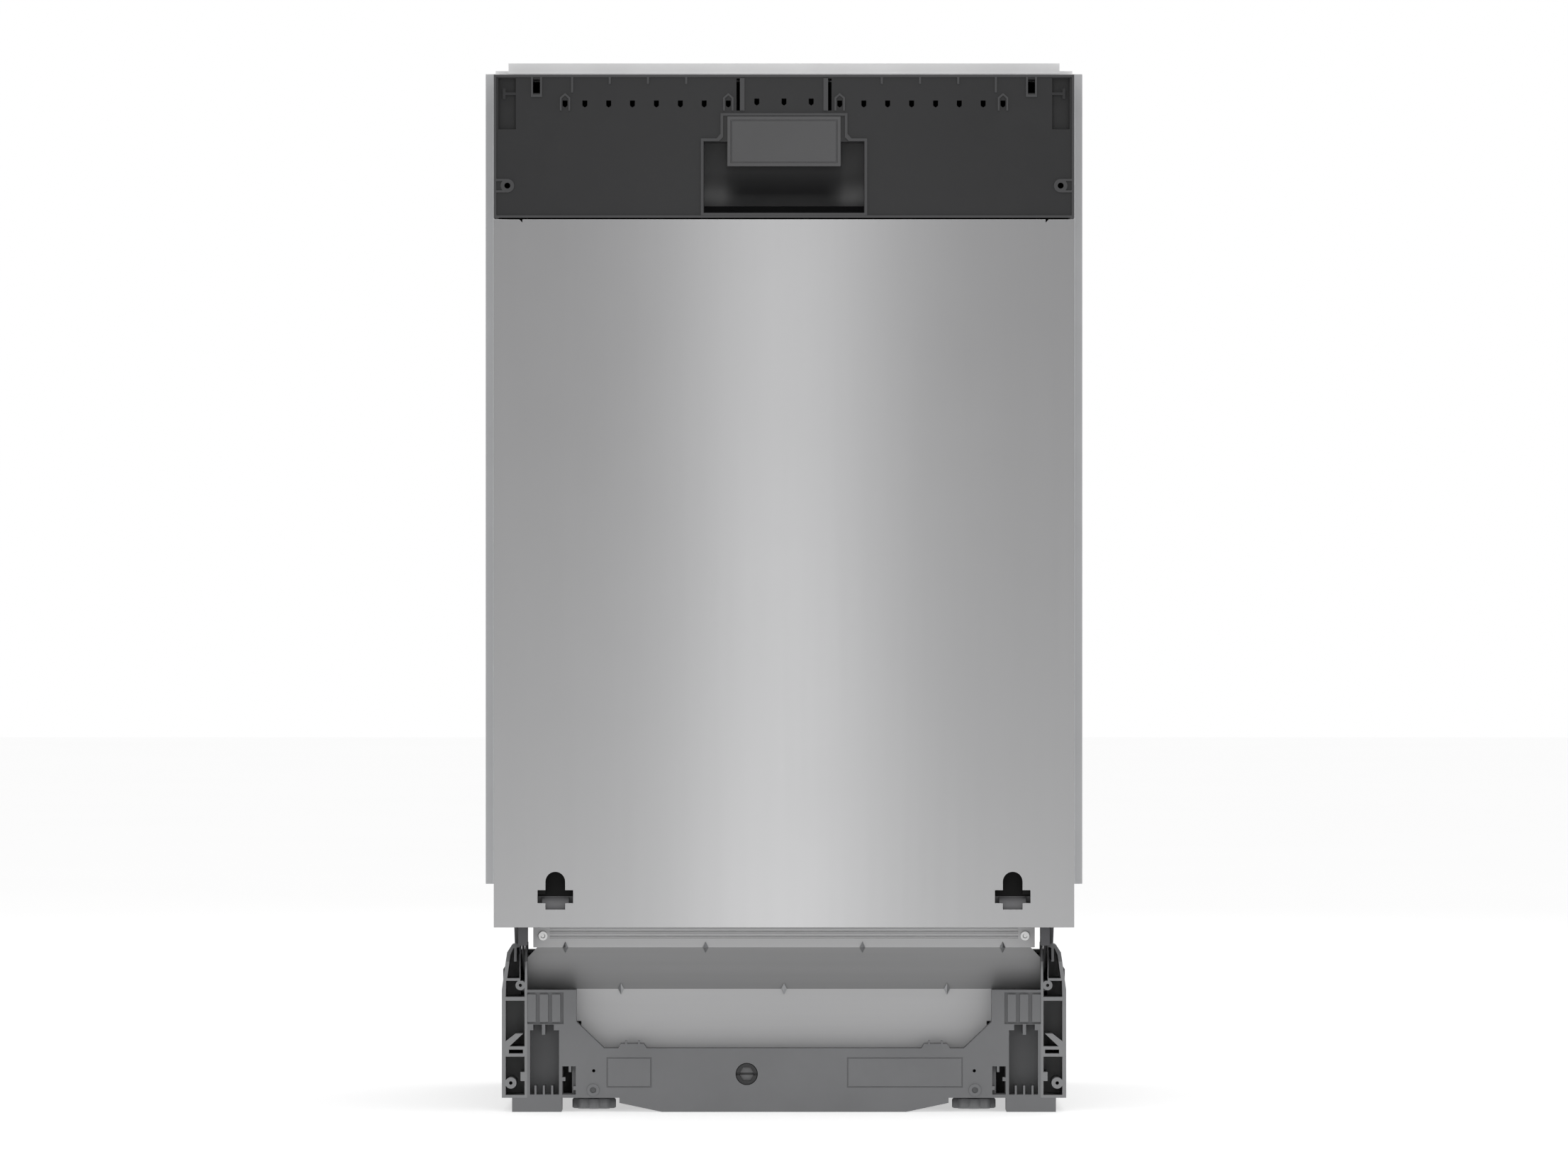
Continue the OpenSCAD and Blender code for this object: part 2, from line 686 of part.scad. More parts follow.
module lower_basket() color(grey) {
    wire_basket(176, lower_y0, lower_y1, 236, 420, 320, 6, 6);
    for (i = [2:5]) tines(-150, 60, lower_y0 + i * lower_pitch_y, 7, 240, 62);
    for (y = [front_axle_y, rear_axle_y]) {
        blocks(172, 176, y - 7, y + 7, 188, 236);
        blocks(172, 176, y - 35, y + 35, 232, 236);
        both_sides() rod_x(175, 192, y, axle_z, 3);
    }
}

// Two wheels on one axle line
module wheel_pair(y) both_sides() difference() {
    rod_x(178.8, 191.5, y, axle_z, wheel_r);
    rod_x(178, 192, y, axle_z, 3 + running);
    rod_x(188, 192, y, axle_z, wheel_r - 4);
}

module front_wheels() color(grey) wheel_pair(front_axle_y);
module rear_wheels() color(grey) wheel_pair(rear_axle_y);

// Open cutlery holder with three compartments and an arched handle
module cutlery_basket() color(grey) difference() {
    union() {
        difference() {
            block(98, 166, -184, -126, 242, 350);
            for (i = [0:2]) block(101 + i * 21.3, 120.3 + i * 21.3, -181, -129, 245, 351);
        }
        block(130, 134, -184, -181, 350, 370);
        block(130, 134, -129, -126, 350, 370);
        block(130, 134, -184, -126, 366, 370);
    }
    for (z = [252:16:330]) for (i = [0:4]) block(97, 167, -178 + i * 10, -173 + i * 10, z, z + 10);
}

upper_y0 = -192;
upper_y1 = 188;
upper_pitch_y = (upper_y1 - wire - upper_y0) / 6;

module upper_basket() color(grey) {
    wire_basket(174, upper_y0, upper_y1, 505, 640, 560, 6, 6);
    for (i = [2:4]) tines(20, 140, upper_y0 + i * upper_pitch_y, 4, 509, 50);
    both_sides() {
        block(174, 180, -150, -130, 556, 564);
        block(174, 180, 120, 140, 556, 564);
        block(180, 190.3, -186, 186, 555, 565);
    }
    rod_z(0, arm_y, 478, 506, 7);
    rod_z(0, arm_y, 476, 479, 11);
    block(-20, 20, arm_y - 14, arm_y + 14, 503, 506);
    rod_y(0, arm_y + 14, upper_y1, 502, 3);
}

// Folding shelf for cups, hinged beside the left wall of the upper basket
module cup_shelf() color(grey) {
    rod_y(-166, -150, 100, 600, 3);
    for (y = steps(-146, 92, 6)) block(-166, -100, y, y + wire, 598, 602);
    block(-104, -100, -146, 96, 598, 602);
}

// ---- door ----

hook_stem_w = 15;
hook_bar_w = 27.3;

// Keyhole opening for the furniture door's hook: round-topped stem with a cross bar
module hook_opening_2d() {
    rect(-hook_stem_w / 2, hook_stem_w / 2, 159.5, 188.4 - hook_stem_w / 2);
    translate([0, 188.4 - hook_stem_w / 2]) circle(r = hook_stem_w / 2);
    rect(-hook_bar_w / 2, hook_bar_w / 2, 164.4, 174.2);
}

module door_panel() color(steel) difference() {
    union() {
        block(-door_half_w, door_half_w, front_y, steel_back_y, door_z0, steel_z1);
        blocks(door_half_w - sheet, door_half_w, steel_back_y, -251, door_z0, steel_z1);
        block(-195, 195, steel_back_y, -252, door_z0, door_z0 + sheet);
        block(-202, 202, steel_back_y, -262, steel_z1 - sheet, steel_z1);
    }
    both_sides() translate([hook_x, 0, 0]) front_shape(front_y - cut, steel_back_y + cut) hook_opening_2d();
    both_sides() front_shape(front_y - cut, steel_back_y + cut)
        polygon([[202, steel_z1 - 2.4], [204.5, steel_z1 + cut], [202, steel_z1 + cut]]);
}

// Plastic pockets behind the hook openings, each with a curved lug
module hook_catches() color(black) both_sides() {
    difference() {
        block(161, 192, steel_back_y, -262.5, 153, 198);
        block(163, 190, steel_back_y - cut, -265, 156, 195);
    }
    intersection() {
        rod_x(166, 187, -262, 160, 9.5);
        block(166, 187, steel_back_y + 1, -265, 156, 170);
    }
    block(184, 190, steel_back_y + 2, -265, 171, 177);
}

// Corner cavity with a T-shaped rib in it
module corner_cavity_2d() difference() {
    rect(207, 220.5, 761.5, 801);
    rect(206, 217, 788, 790);
    rect(215, 217, 785, 793);
}

// Small vertical slot with a pointed lower end
module pointed_hole_2d()
    polygon([[-1.9, 783.8], [1.9, 783.8], [1.9, 779.8], [0, 778.3], [-1.9, 779.8]]);

slot_row = [43, 61.6, 80, 98.5, 117, 135.3, 153.7, 169];
long_rib_x = 163.5;
short_ribs = [134.5, 105, 75.5];

module panel_holes_2d() {
    rect(-recess_half_w, recess_half_w, recess_z0, recess_z1);
    rect(-cover_half_w, cover_half_w, cover_z0, cover_z1);
    mirrored_2d() {
        corner_cavity_2d();
        for (x = slot_row) translate([x, 0]) pointed_hole_2d();
        rect(191 - 2.75, 191 + 2.75, 789.5, 800);
        rect(34, 36.7, 776, 800.8);
        translate([21, 1.5]) pointed_hole_2d();
    }
    translate([0, 1.5]) pointed_hole_2d();
}

// Lip round the latch cover and the handle recess, right half
module recess_lip_2d() difference() {
    polygon([[0, 774], [49, 774], [49, 758], [52, 754.5], [64.2, 754.5], [64.2, 695.2], [0, 695.2]]);
    polygon([[-1, 772], [47, 772], [47, 755.5], [50, 752.5], [62.2, 752.5], [62.2, 697], [-1, 697]]);
}

// Pitched shroud over the outermost slots of the row
module slot_shroud_2d() difference() {
    polygon([[-4, 776], [-4, 786], [0, 789.5], [4, 786], [4, 776]]);
    polygon([[-2.6, 775], [-2.6, 785.4], [0, 787.7], [2.6, 785.4], [2.6, 775]]);
}

module screw_boss_2d() {
    translate([screw_x, screw_z]) circle(r = 5.2);
    rect(screw_x, door_half_w - 1, screw_z - 5.2, screw_z - 3.6);
    rect(screw_x, door_half_w - 1, screw_z + 3.6, screw_z + 5.2);
}

module panel_raised_2d() {
    groove_frame(-door_half_w, door_half_w, panel_z0, panel_z1, 1.9);
    mirrored_2d() {
        recess_lip_2d();
        screw_boss_2d();
        rect(long_rib_x - 0.8, long_rib_x + 0.8, 790, panel_z1);
        for (x = short_ribs) rect(x - 0.8, x + 0.8, 796.5, panel_z1);
        for (x = [43, 169]) translate([x, 0]) slot_shroud_2d();
        rect(191 - 4.25, 191 - 2.75, 786.5, 803);
        rect(191 + 2.75, 191 + 4.25, 786.5, 803);
        rect(191 - 4.25, 191 + 4.25, 786.5, 788.5);
        rect(30.5, 34, 776, 801);
    }
}

// Scooped hollow behind the handle opening
module recess_bowl() difference() {
    block(-recess_half_w - 2.2, recess_half_w + 2.2, field_y + field_t, -239, 694.8, 754.5);
    side_shape(-recess_half_w, recess_half_w)
        polygon([[field_y, recess_z0], [-262, recess_z0], [-249, 703], [-242, 716],
                 [-241, 730], [-241, recess_z1], [field_y, recess_z1]]);
}

module control_panel() color(black) difference() {
    union() {
        front_shape(field_y, field_y + field_t) difference() {
            rect(-door_half_w, door_half_w, panel_z0, panel_z1);
            panel_holes_2d();
        }
        front_shape(front_y, field_y) panel_raised_2d();
        recess_bowl();
        blocks(door_half_w - 2.5, door_half_w, field_y + field_t, -224.5, panel_z0, panel_z1);
        block(-door_half_w, door_half_w, field_y + field_t, -224.5, panel_z1 - 2.5, panel_z1);
        blocks(recess_half_w + 2.2, door_half_w, field_y + field_t, -262, panel_z0, panel_z0 + 1.5);
        // floors of the corner cavities
        blocks(204, door_half_w - 2.5, -263.5, -262, 757, panel_z1 - 2.5);
        blocks(204, 205.5, field_y + field_t, -262, 757, panel_z1 - 2.5);
        blocks(204, door_half_w - 2.5, field_y + field_t, -262, 757, 758.5);
    }
    both_sides() rod_y(screw_x, front_y - cut, field_y + field_t + cut, screw_z, screw_r);
    for (x = button_xs) rod_z(x, button_y, panel_z1 - 3, panel_z1 + cut, button_r + 0.35);
}

button_xs = [-160, -100, -64];
button_y = -248;
button_r = 5;

module button(x) color(grey) {
    rod_z(x, button_y, 796, panel_z1 - 0.3, button_r);
    rod_z(x, button_y, 794.5, 796, button_r + 1.5);
}

module button_power() button(button_xs[0]);
module button_program() button(button_xs[1]);
module button_start() button(button_xs[2]);

module control_board() color([0.1, 0.3, 0.15]) {
    block(72, 205, -262, -260.4, 702, 770);
    block(84, 110, -260.4, -250, 715, 750);
    for (x = [125, 145, 165]) rod_y(x, -260.4, -246, 730, 6);
    block(120, 180, -260.4, -252, 750, 764);
}

// Plate over the lock with a sunken frame line
module latch_cover() color(black) difference() {
    block(-cover_half_w, cover_half_w, front_y, field_y + field_t, cover_z0, cover_z1);
    front_shape(front_y - cut, front_y + 0.7)
        groove_frame(-cover_half_w + 2.5, cover_half_w - 2.5, cover_z0 + 2.5, cover_z1 - 2.5, 1);
}

inner_low_w = 196;
inner_high_w = 221;
inner_step_z = 178;
dispenser_half_w = 62;
dispenser_z0 = 392;
dispenser_z1 = 518;

module inner_door() color(bright) difference() {
    union() {
        block(-inner_high_w, inner_high_w, inner_y - 1.5, inner_y, inner_step_z, 800);
        block(-inner_low_w, inner_low_w, inner_y - 1.5, inner_y, 152, inner_step_z);
        blocks(inner_high_w - 1.5, inner_high_w, -250, inner_y - 1.5, inner_step_z, 800);
        block(-inner_high_w, inner_high_w, -236, inner_y - 1.5, 798.5, 800);
        block(-inner_low_w, inner_low_w, -250, inner_y - 1.5, 152, 153.5);
        for (z = [230, 600]) block(-150, 150, inner_y - 4, inner_y - 1.5, z, z + 30);
    }
    block(-dispenser_half_w, dispenser_half_w, inner_y - 2, inner_y + cut, dispenser_z0, dispenser_z1);
    block(-10, 10, inner_y - 5, inner_y + cut, 779.5, 792.5);
}

module dispenser_body() color(grey) difference() {
    union() {
        block(-70, 70, inner_y, inner_y + 2.5, 384, 526);
        block(-dispenser_half_w, dispenser_half_w, -246, inner_y, dispenser_z0, dispenser_z1);
    }
    block(-50, 15, -242, inner_y + 3, 405, 470);
    rod_y(43, -240, inner_y + 3, 449, 9);
}

module dispenser_lid() color(grey) difference() {
    block(-54, 19, -219.2, -216.6, 401, 474);
    block(-30, -5, -217.4, -216, 408, 420);
}

// Hinged flap over the rinse aid filler
module rinse_cap() color(grey) {
    block(26, 60, -219.2, -216.8, 432, 463);
    rod_x(26, 60, -217.6, 464.5, 1.6);
}

module latch_claw() color(steel) {
    difference() {
        rod_x(-8, 8, -250, 794, 4);
        rod_x(-9, 9, -250, 794, 1.5);
    }
    block(-6, 6, -248, -229, 791, 795);
    block(-6, 6, -232, -229, 789.5, 791);
}

module door_seal() color(black)
    block(-190, 190, inner_y, inner_y + 2, 153, 163);

base_pan();
base_front();
pillar_left();
pillar_right();
plinth_sheet();
plinth_screws();
tub();
tub_gasket();
tub_felt();
side_panel_left();
side_panel_right();
side_strip_left();
side_strip_right();
top_front_strip();
top_side_rails();
rear_panel();
heat_exchanger();
sump();
circulation_pump();
drain_pump();
inlet_valve();
power_module();
feed_pipe();
top_shower();
filter_mesh();
salt_container();
latch_strike();
basket_rails();
hinge_brackets();
door_springs();
door_ropes();
front_foot_left();
front_foot_right();
rear_foot();
rear_adjuster();
lower_spray_arm();
filter_cylinder();
salt_cap();
upper_basket();
upper_spray_arm();
cup_shelf();
lower_basket();
cutlery_basket();
front_wheels();
rear_wheels();
door_panel();
hook_catches();
control_panel();
latch_cover();
inner_door();
dispenser_body();
dispenser_lid();
rinse_cap();
hinge_levers();
latch_claw();
door_seal();
button_power();
button_program();
button_start();
control_board();
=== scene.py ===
"""Looks of the built-in dishwasher. Metres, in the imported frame: X across, door towards -Y, Z up."""
import json
import math

import bpy
import bmesh
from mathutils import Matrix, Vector


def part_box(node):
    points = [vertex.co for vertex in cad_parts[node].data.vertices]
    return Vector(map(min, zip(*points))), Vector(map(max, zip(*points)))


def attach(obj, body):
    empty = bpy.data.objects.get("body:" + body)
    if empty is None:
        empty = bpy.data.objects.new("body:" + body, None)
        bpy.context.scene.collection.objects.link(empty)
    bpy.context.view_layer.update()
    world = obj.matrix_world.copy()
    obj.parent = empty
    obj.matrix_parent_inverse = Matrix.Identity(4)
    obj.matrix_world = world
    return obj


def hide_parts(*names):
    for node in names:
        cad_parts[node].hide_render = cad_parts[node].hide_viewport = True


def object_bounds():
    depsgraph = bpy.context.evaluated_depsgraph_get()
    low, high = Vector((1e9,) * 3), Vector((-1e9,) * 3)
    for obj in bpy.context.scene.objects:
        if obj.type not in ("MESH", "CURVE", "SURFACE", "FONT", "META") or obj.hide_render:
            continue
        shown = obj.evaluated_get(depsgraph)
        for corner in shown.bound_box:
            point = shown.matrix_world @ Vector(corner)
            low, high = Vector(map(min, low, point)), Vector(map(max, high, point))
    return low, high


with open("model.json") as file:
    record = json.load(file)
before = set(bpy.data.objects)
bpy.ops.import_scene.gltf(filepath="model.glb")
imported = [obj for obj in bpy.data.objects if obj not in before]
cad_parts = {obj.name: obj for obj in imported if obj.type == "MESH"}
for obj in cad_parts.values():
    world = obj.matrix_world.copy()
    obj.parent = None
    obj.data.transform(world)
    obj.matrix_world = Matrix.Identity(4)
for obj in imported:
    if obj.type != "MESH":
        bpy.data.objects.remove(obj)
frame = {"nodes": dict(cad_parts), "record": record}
cad_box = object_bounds()
MM = 0.001
LOW, HIGH = Vector(cad_box[0]), Vector(cad_box[1])
CENTRE_X = (LOW.x + HIGH.x) / 2
DOOR_Y = LOW.y


# ---------------------------------------------------------------- view and light

CAMERA_DISTANCE = 8.0
FRAME_WIDTH = 1.210      # what the view takes in at the door's plane
SENSOR = 36.0
AMBIENT = 0.50           # light from all round; the sky itself shows white
MIDDLE = (CENTRE_X, 0, 0.4)

# Tall narrow light whose reflection runs down the middle of the steel door
STRIP_DISTANCE = 1.2
STRIP_HEIGHT = 0.42
STRIP_SIZE = (0.12, 3.6)
STRIP_POWER = 1.45

# Soft lights aimed at the middle of the part: place, size, power
SOFT_LIGHTS = {
    "high_front": ((0.0, -2.6, 2.9), (2.4, 1.2), 16),
    "left_side": ((-3.0, -1.2, 1.6), (1.6, 2.2), 9),
    "right_side": ((3.0, -1.2, 1.6), (1.6, 2.2), 9),
    "behind": ((1.2, 3.2, 2.4), (2.4, 1.6), 16),
}


def look_at(obj, target):
    obj.rotation_euler = (Vector(target) - obj.location).to_track_quat("-Z", "Y").to_euler()


def make_camera():
    data = bpy.data.cameras.new("camera")
    data.sensor_width = SENSOR
    data.lens = SENSOR * CAMERA_DISTANCE / FRAME_WIDTH
    data.clip_end = 100
    camera = bpy.data.objects.new("camera", data)
    height = (LOW.z + HIGH.z) / 2
    camera.location = (CENTRE_X, DOOR_Y - CAMERA_DISTANCE, height)
    look_at(camera, (CENTRE_X, DOOR_Y, height))
    bpy.context.scene.collection.objects.link(camera)
    bpy.context.scene.camera = camera


def area_light(name, place, target, size, power):
    data = bpy.data.lights.new(name, "AREA")
    data.shape = "RECTANGLE"
    data.size, data.size_y = size
    data.energy = power
    light = bpy.data.objects.new(name, data)
    light.location = place
    look_at(light, target)
    light.visible_camera = False
    bpy.context.scene.collection.objects.link(light)


def make_lights():
    area_light("front_strip", (0, DOOR_Y - STRIP_DISTANCE, STRIP_HEIGHT), (0, DOOR_Y, STRIP_HEIGHT),
               STRIP_SIZE, STRIP_POWER)
    for name, (place, size, power) in SOFT_LIGHTS.items():
        area_light(name, place, MIDDLE, size, power)


def make_sky():
    """White to the camera, weaker as a light."""
    world = bpy.data.worlds.new("studio")
    world.use_nodes = True
    tree = world.node_tree
    seen = tree.nodes.new("ShaderNodeBackground")
    lit = tree.nodes["Background"]
    for background, strength in ((seen, 1.0), (lit, AMBIENT)):
        background.inputs["Color"].default_value = (1, 1, 1, 1)
        background.inputs["Strength"].default_value = strength
    rays = tree.nodes.new("ShaderNodeLightPath")
    mix = tree.nodes.new("ShaderNodeMixShader")
    tree.links.new(rays.outputs["Is Camera Ray"], mix.inputs[0])
    tree.links.new(lit.outputs[0], mix.inputs[1])
    tree.links.new(seen.outputs[0], mix.inputs[2])
    tree.links.new(mix.outputs[0], tree.nodes["World Output"].inputs["Surface"])
    bpy.context.scene.world = world
    bpy.context.scene.view_settings.view_transform = "Standard"


# ---------------------------------------------------------------- materials

# How a noise is stretched: not at all, along Z, or along X
EVEN = (1, 1, 1)
UPRIGHT = (1, 1, 0.02)
LEVEL = (0.02, 1, 1)
EDGE_BLUR = 0.1 * MM       # half the width of the change between two tones


class Shader:
    """One Principled material whose colour, roughness and bump come from noise in object space."""

    def __init__(self, name):
        self.material = bpy.data.materials.new(name)
        self.material.use_nodes = True
        self.tree = self.material.node_tree
        self.bsdf = self.tree.nodes["Principled BSDF"]
        self.coords = self.tree.nodes.new("ShaderNodeTexCoord")
        self.height = None
        self.base = None

    def node(self, kind, **settings):
        made = self.tree.nodes.new(kind)
        for key, value in settings.items():
            setattr(made, key, value)
        return made

    def link(self, source, target):
        self.tree.links.new(source, target)

    def space(self, stretch):
        mapping = self.node("ShaderNodeMapping")
        mapping.inputs["Scale"].default_value = stretch
        self.link(self.coords.outputs["Object"], mapping.inputs["Vector"])
        return mapping.outputs["Vector"]

    def noise(self, scale, stretch=EVEN, detail=4.0, rough=0.55):
        noise = self.node("ShaderNodeTexNoise")
        noise.inputs["Scale"].default_value = scale
        noise.inputs["Detail"].default_value = detail
        noise.inputs["Roughness"].default_value = rough
        self.link(self.space(stretch), noise.inputs["Vector"])
        return noise.outputs["Fac"]

    def ramp(self, value, low, high, start=0.3, end=0.7):
        ramp = self.node("ShaderNodeMapRange")
        ramp.inputs["From Min"].default_value = start
        ramp.inputs["From Max"].default_value = end
        ramp.inputs["To Min"].default_value = low
        ramp.inputs["To Max"].default_value = high
        self.link(value, ramp.inputs["Value"])
        return ramp.outputs["Result"]

    def colour(self, value, dark, light, start=0.3, end=0.7):
        ramp = self.node("ShaderNodeValToRGB")
        ramp.color_ramp.elements[0].position = start
        ramp.color_ramp.elements[0].color = (*dark, 1)
        ramp.color_ramp.elements[1].position = end
        ramp.color_ramp.elements[1].color = (*light, 1)
        self.link(value, ramp.inputs["Fac"])
        self.base = ramp.outputs["Color"]
        self.link(self.base, self.bsdf.inputs["Base Color"])

    def multiply(self, value):
        """Scales the colour by a number that varies over the surface."""
        mix = self.node("ShaderNodeVectorMath", operation="MULTIPLY")
        self.link(self.base, mix.inputs[0])
        self.link(value, mix.inputs[1])
        self.base = mix.outputs["Vector"]
        self.link(self.base, self.bsdf.inputs["Base Color"])

    def axis(self, source, letter):
        axes = self.node("ShaderNodeSeparateXYZ")
        self.link(source, axes.inputs[0])
        return axes.outputs[letter]

    def below(self, value, edge, blur):
        """1 where the value is under the edge, 0 where it is over it."""
        return self.ramp(value, 1.0, 0.0, edge - blur, edge + blur)

    def above(self, value, edge, blur):
        """0 where the value is under the edge, 1 where it is over it."""
        return self.ramp(value, 0.0, 1.0, edge - blur, edge + blur)

    def shade_downward(self, factor):
        """Painted shade: faces that look down get a darker base colour, standing in for the shaded floor they
        would reflect.
        """
        normal = self.node("ShaderNodeNewGeometry").outputs["Normal"]
        self.multiply(self.ramp(self.axis(normal, "Z"), factor, 1.0, -0.45, -0.05))

    def in_front_of(self, y):
        """1 on what stands nearer the front than that plane of the part at rest."""
        return self.below(self.axis(self.coords.outputs["Object"], "Y"), y, 0.3 * MM)

    def facing_front(self):
        """1 on faces whose normal points out of the front of the closed part."""
        return self.below(self.axis(self.coords.outputs["Normal"], "Y"), -0.75, 0.15)

    def within_rod(self, y, z, radius):
        """1 inside a rod along X, 0 outside it."""
        mapping = self.node("ShaderNodeMapping")
        mapping.inputs["Scale"].default_value = (0, 1, 1)
        mapping.inputs["Location"].default_value = (0, -y, -z)
        self.link(self.coords.outputs["Object"], mapping.inputs["Vector"])
        length = self.node("ShaderNodeVectorMath", operation="LENGTH")
        self.link(mapping.outputs["Vector"], length.inputs[0])
        return self.below(length.outputs["Value"], radius, EDGE_BLUR)

    def beyond_level(self, z, half):
        """1 on what is further than half from that height, 0 nearer it."""
        offset = self.node("ShaderNodeMath", operation="SUBTRACT")
        self.link(self.axis(self.coords.outputs["Object"], "Z"), offset.inputs[0])
        offset.inputs[1].default_value = z
        distance = self.node("ShaderNodeMath", operation="ABSOLUTE")
        self.link(offset.outputs[0], distance.inputs[0])
        return self.above(distance.outputs[0], half, EDGE_BLUR)

    def roughness(self, value, low, high):
        self.link(self.ramp(value, low, high), self.bsdf.inputs["Roughness"])

    def bump(self, value, depth):
        bump = self.node("ShaderNodeBump")
        bump.inputs["Strength"].default_value = 1.0
        bump.inputs["Distance"].default_value = depth
        self.link(value, bump.inputs["Height"])
        if self.height:
            self.link(self.height, bump.inputs["Normal"])
        self.height = bump.outputs["Normal"]
        self.link(self.height, self.bsdf.inputs["Normal"])


STREAK_DEPTH = 0.002 * MM
GRAIN_DEPTH = 0.03 * MM
PANEL_RIM = 1.3 * MM       # what is less deep than this on the panel is a raised rim
LUG_SETBACK = 13 * MM      # axis of the hook pockets' curved lug, behind the front of the door
LUG_Z = 160 * MM
LUG_R = 9.8 * MM
HEXAGON_DEPTH = 4.2 * MM   # from the front of the adjuster's shaft to just above its hexagon's floor
HEXAGON_BAR = 0.9 * MM     # half the height of the bar across the hexagon


def tint(base, factor):
    return tuple(min(1.0, c * factor) for c in base)


def sheet_metal(name, base, rough, grain=EVEN, spangle=0.0):
    """Rolled sheet: faint streaks along the rolling direction and cloudy roughness."""
    s = Shader(name)
    s.bsdf.inputs["Metallic"].default_value = 1.0
    streaks = s.noise(420, grain, 3)
    clouds = s.noise(6, EVEN, 3)
    s.colour(s.noise(160, grain, 4), tint(base, 0.988), tint(base, 1.012))
    s.roughness(clouds, rough - 0.008, rough + 0.008)
    s.bump(streaks, STREAK_DEPTH)
    # Painted shade: faces that look down get a darker base colour.
    s.shade_downward(0.62)
    if spangle:
        cells = s.node("ShaderNodeTexVoronoi")
        cells.inputs["Scale"].default_value = 130
        s.link(s.space(EVEN), cells.inputs["Vector"])
        s.bump(cells.outputs["Distance"], spangle)
    return s.material


def painted_sheet(name, base, rough, metallic=0.75):
    s = Shader(name)
    s.bsdf.inputs["Metallic"].default_value = metallic
    s.colour(s.noise(30), tint(base, 0.96), tint(base, 1.03))
    s.roughness(s.noise(60), rough - 0.04, rough + 0.05)
    s.bump(s.noise(900, EVEN, 2), 0.012 * MM)
    return s.material


def coated_sheet(name, base, rough, coat):
    """Stainless inner sheet with a black sound-deadening coat on its hidden side; the coat's black also serves
    as painted shade for what shows through the openings in front of it.
    """
    s = Shader(name)
    s.colour(s.facing_front(), base, coat, 0.4, 0.6)
    s.link(s.ramp(s.facing_front(), 1.0, 0.0, 0.4, 0.6), s.bsdf.inputs["Metallic"])
    s.roughness(s.facing_front(), rough, 0.95)
    s.bump(s.noise(420, UPRIGHT, 3), STREAK_DEPTH)
    return s.material


def panel_plastic(name, base, edge, rough):
    """Black panel whose raised rims and ribs get a lighter colour, a painted highlight for the light their
    rounded edges catch.
    """
    s = Shader(name)
    s.colour(s.in_front_of(DOOR_Y + PANEL_RIM), base, edge, 0.3, 0.7)
    s.multiply(s.ramp(s.noise(14, EVEN, 5), 0.95, 1.05))
    s.roughness(s.noise(45), rough - 0.03, rough + 0.04)
    s.bump(s.noise(1400, EVEN, 2), 0.02 * MM)
    return s.material


def plinth_metal(name, base, rough):
    """Folded plinth sheet; its downward-slanted face gets painted shade in the base colour, standing in for
    the door's shade.
    """
    s = Shader(name)
    s.bsdf.inputs["Metallic"].default_value = 0.3
    s.colour(s.noise(120, LEVEL, 4), tint(base, 0.98), tint(base, 1.02))
    s.shade_downward(0.48)
    s.roughness(s.noise(6), rough - 0.01, rough + 0.01)
    s.bump(s.noise(420, LEVEL, 3), STREAK_DEPTH)
    return s.material


def hook_plastic(name, base, lug):
    """Black plastic pocket, painted darker and less shiny than the other black plastic as painted shade for
    its depth; its curved lug is moulded in grey.
    """
    s = Shader(name)
    s.colour(s.within_rod(DOOR_Y + LUG_SETBACK, LUG_Z, LUG_R), base, lug, 0.4, 0.6)
    s.roughness(s.noise(45), 0.45, 0.55)
    s.bump(s.noise(1400, EVEN, 2), GRAIN_DEPTH)
    s.bsdf.inputs["Specular IOR Level"].default_value = 0.12
    return s.material


def adjuster_plastic(name, base, floor):
    """Black shaft whose hexagon has a paler floor above and below a bar."""
    low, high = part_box("rear_adjuster")
    s = Shader(name)
    beside_bar = s.beyond_level((low.z + high.z) / 2, HEXAGON_BAR)
    depth = s.axis(s.coords.outputs["Object"], "Y")
    on_floor = s.above(depth, low.y + HEXAGON_DEPTH, EDGE_BLUR)
    both = s.node("ShaderNodeMath", operation="MULTIPLY")
    s.link(beside_bar, both.inputs[0])
    s.link(on_floor, both.inputs[1])
    s.colour(both.outputs[0], base, floor, 0.4, 0.6)
    s.roughness(s.noise(45), 0.38, 0.46)
    s.bump(s.noise(1400, EVEN, 2), GRAIN_DEPTH)
    return s.material


def moulded_plastic(name, base, rough, grain=GRAIN_DEPTH):
    """Injection-moulded plastic: fine spark-eroded grain, faint flow clouds."""
    s = Shader(name)
    s.colour(s.noise(14, EVEN, 5), tint(base, 0.94), tint(base, 1.06))
    s.roughness(s.noise(45), rough - 0.05, rough + 0.06)
    s.bump(s.noise(1400, EVEN, 2), grain)
    s.bump(s.noise(24, EVEN, 2), 0.12 * MM)
    return s.material


def rubber(name, base):
    s = Shader(name)
    s.colour(s.noise(90), tint(base, 0.8), tint(base, 1.35))
    s.roughness(s.noise(60), 0.55, 0.75)
    s.bump(s.noise(700), 0.04 * MM)
    return s.material


def felt(name, base):
    s = Shader(name)
    fibres = s.noise(520, EVEN, 8, 0.75)
    s.colour(fibres, tint(base, 0.6), tint(base, 1.9))
    s.roughness(s.noise(80), 0.85, 0.98)
    s.bump(fibres, 0.9 * MM)
    s.bsdf.inputs["Sheen Weight"].default_value = 0.25
    return s.material


def circuit(name, base):
    s = Shader(name)
    tracks = s.node("ShaderNodeTexBrick")
    tracks.inputs["Scale"].default_value = 160
    tracks.inputs["Mortar Size"].default_value = 0.03
    s.link(s.space(EVEN), tracks.inputs["Vector"])
    s.colour(tracks.outputs["Fac"], base, tint(base, 2.2), 0.2, 0.8)
    s.roughness(s.noise(40), 0.3, 0.4)
    s.bump(tracks.outputs["Fac"], 0.05 * MM)
    return s.material


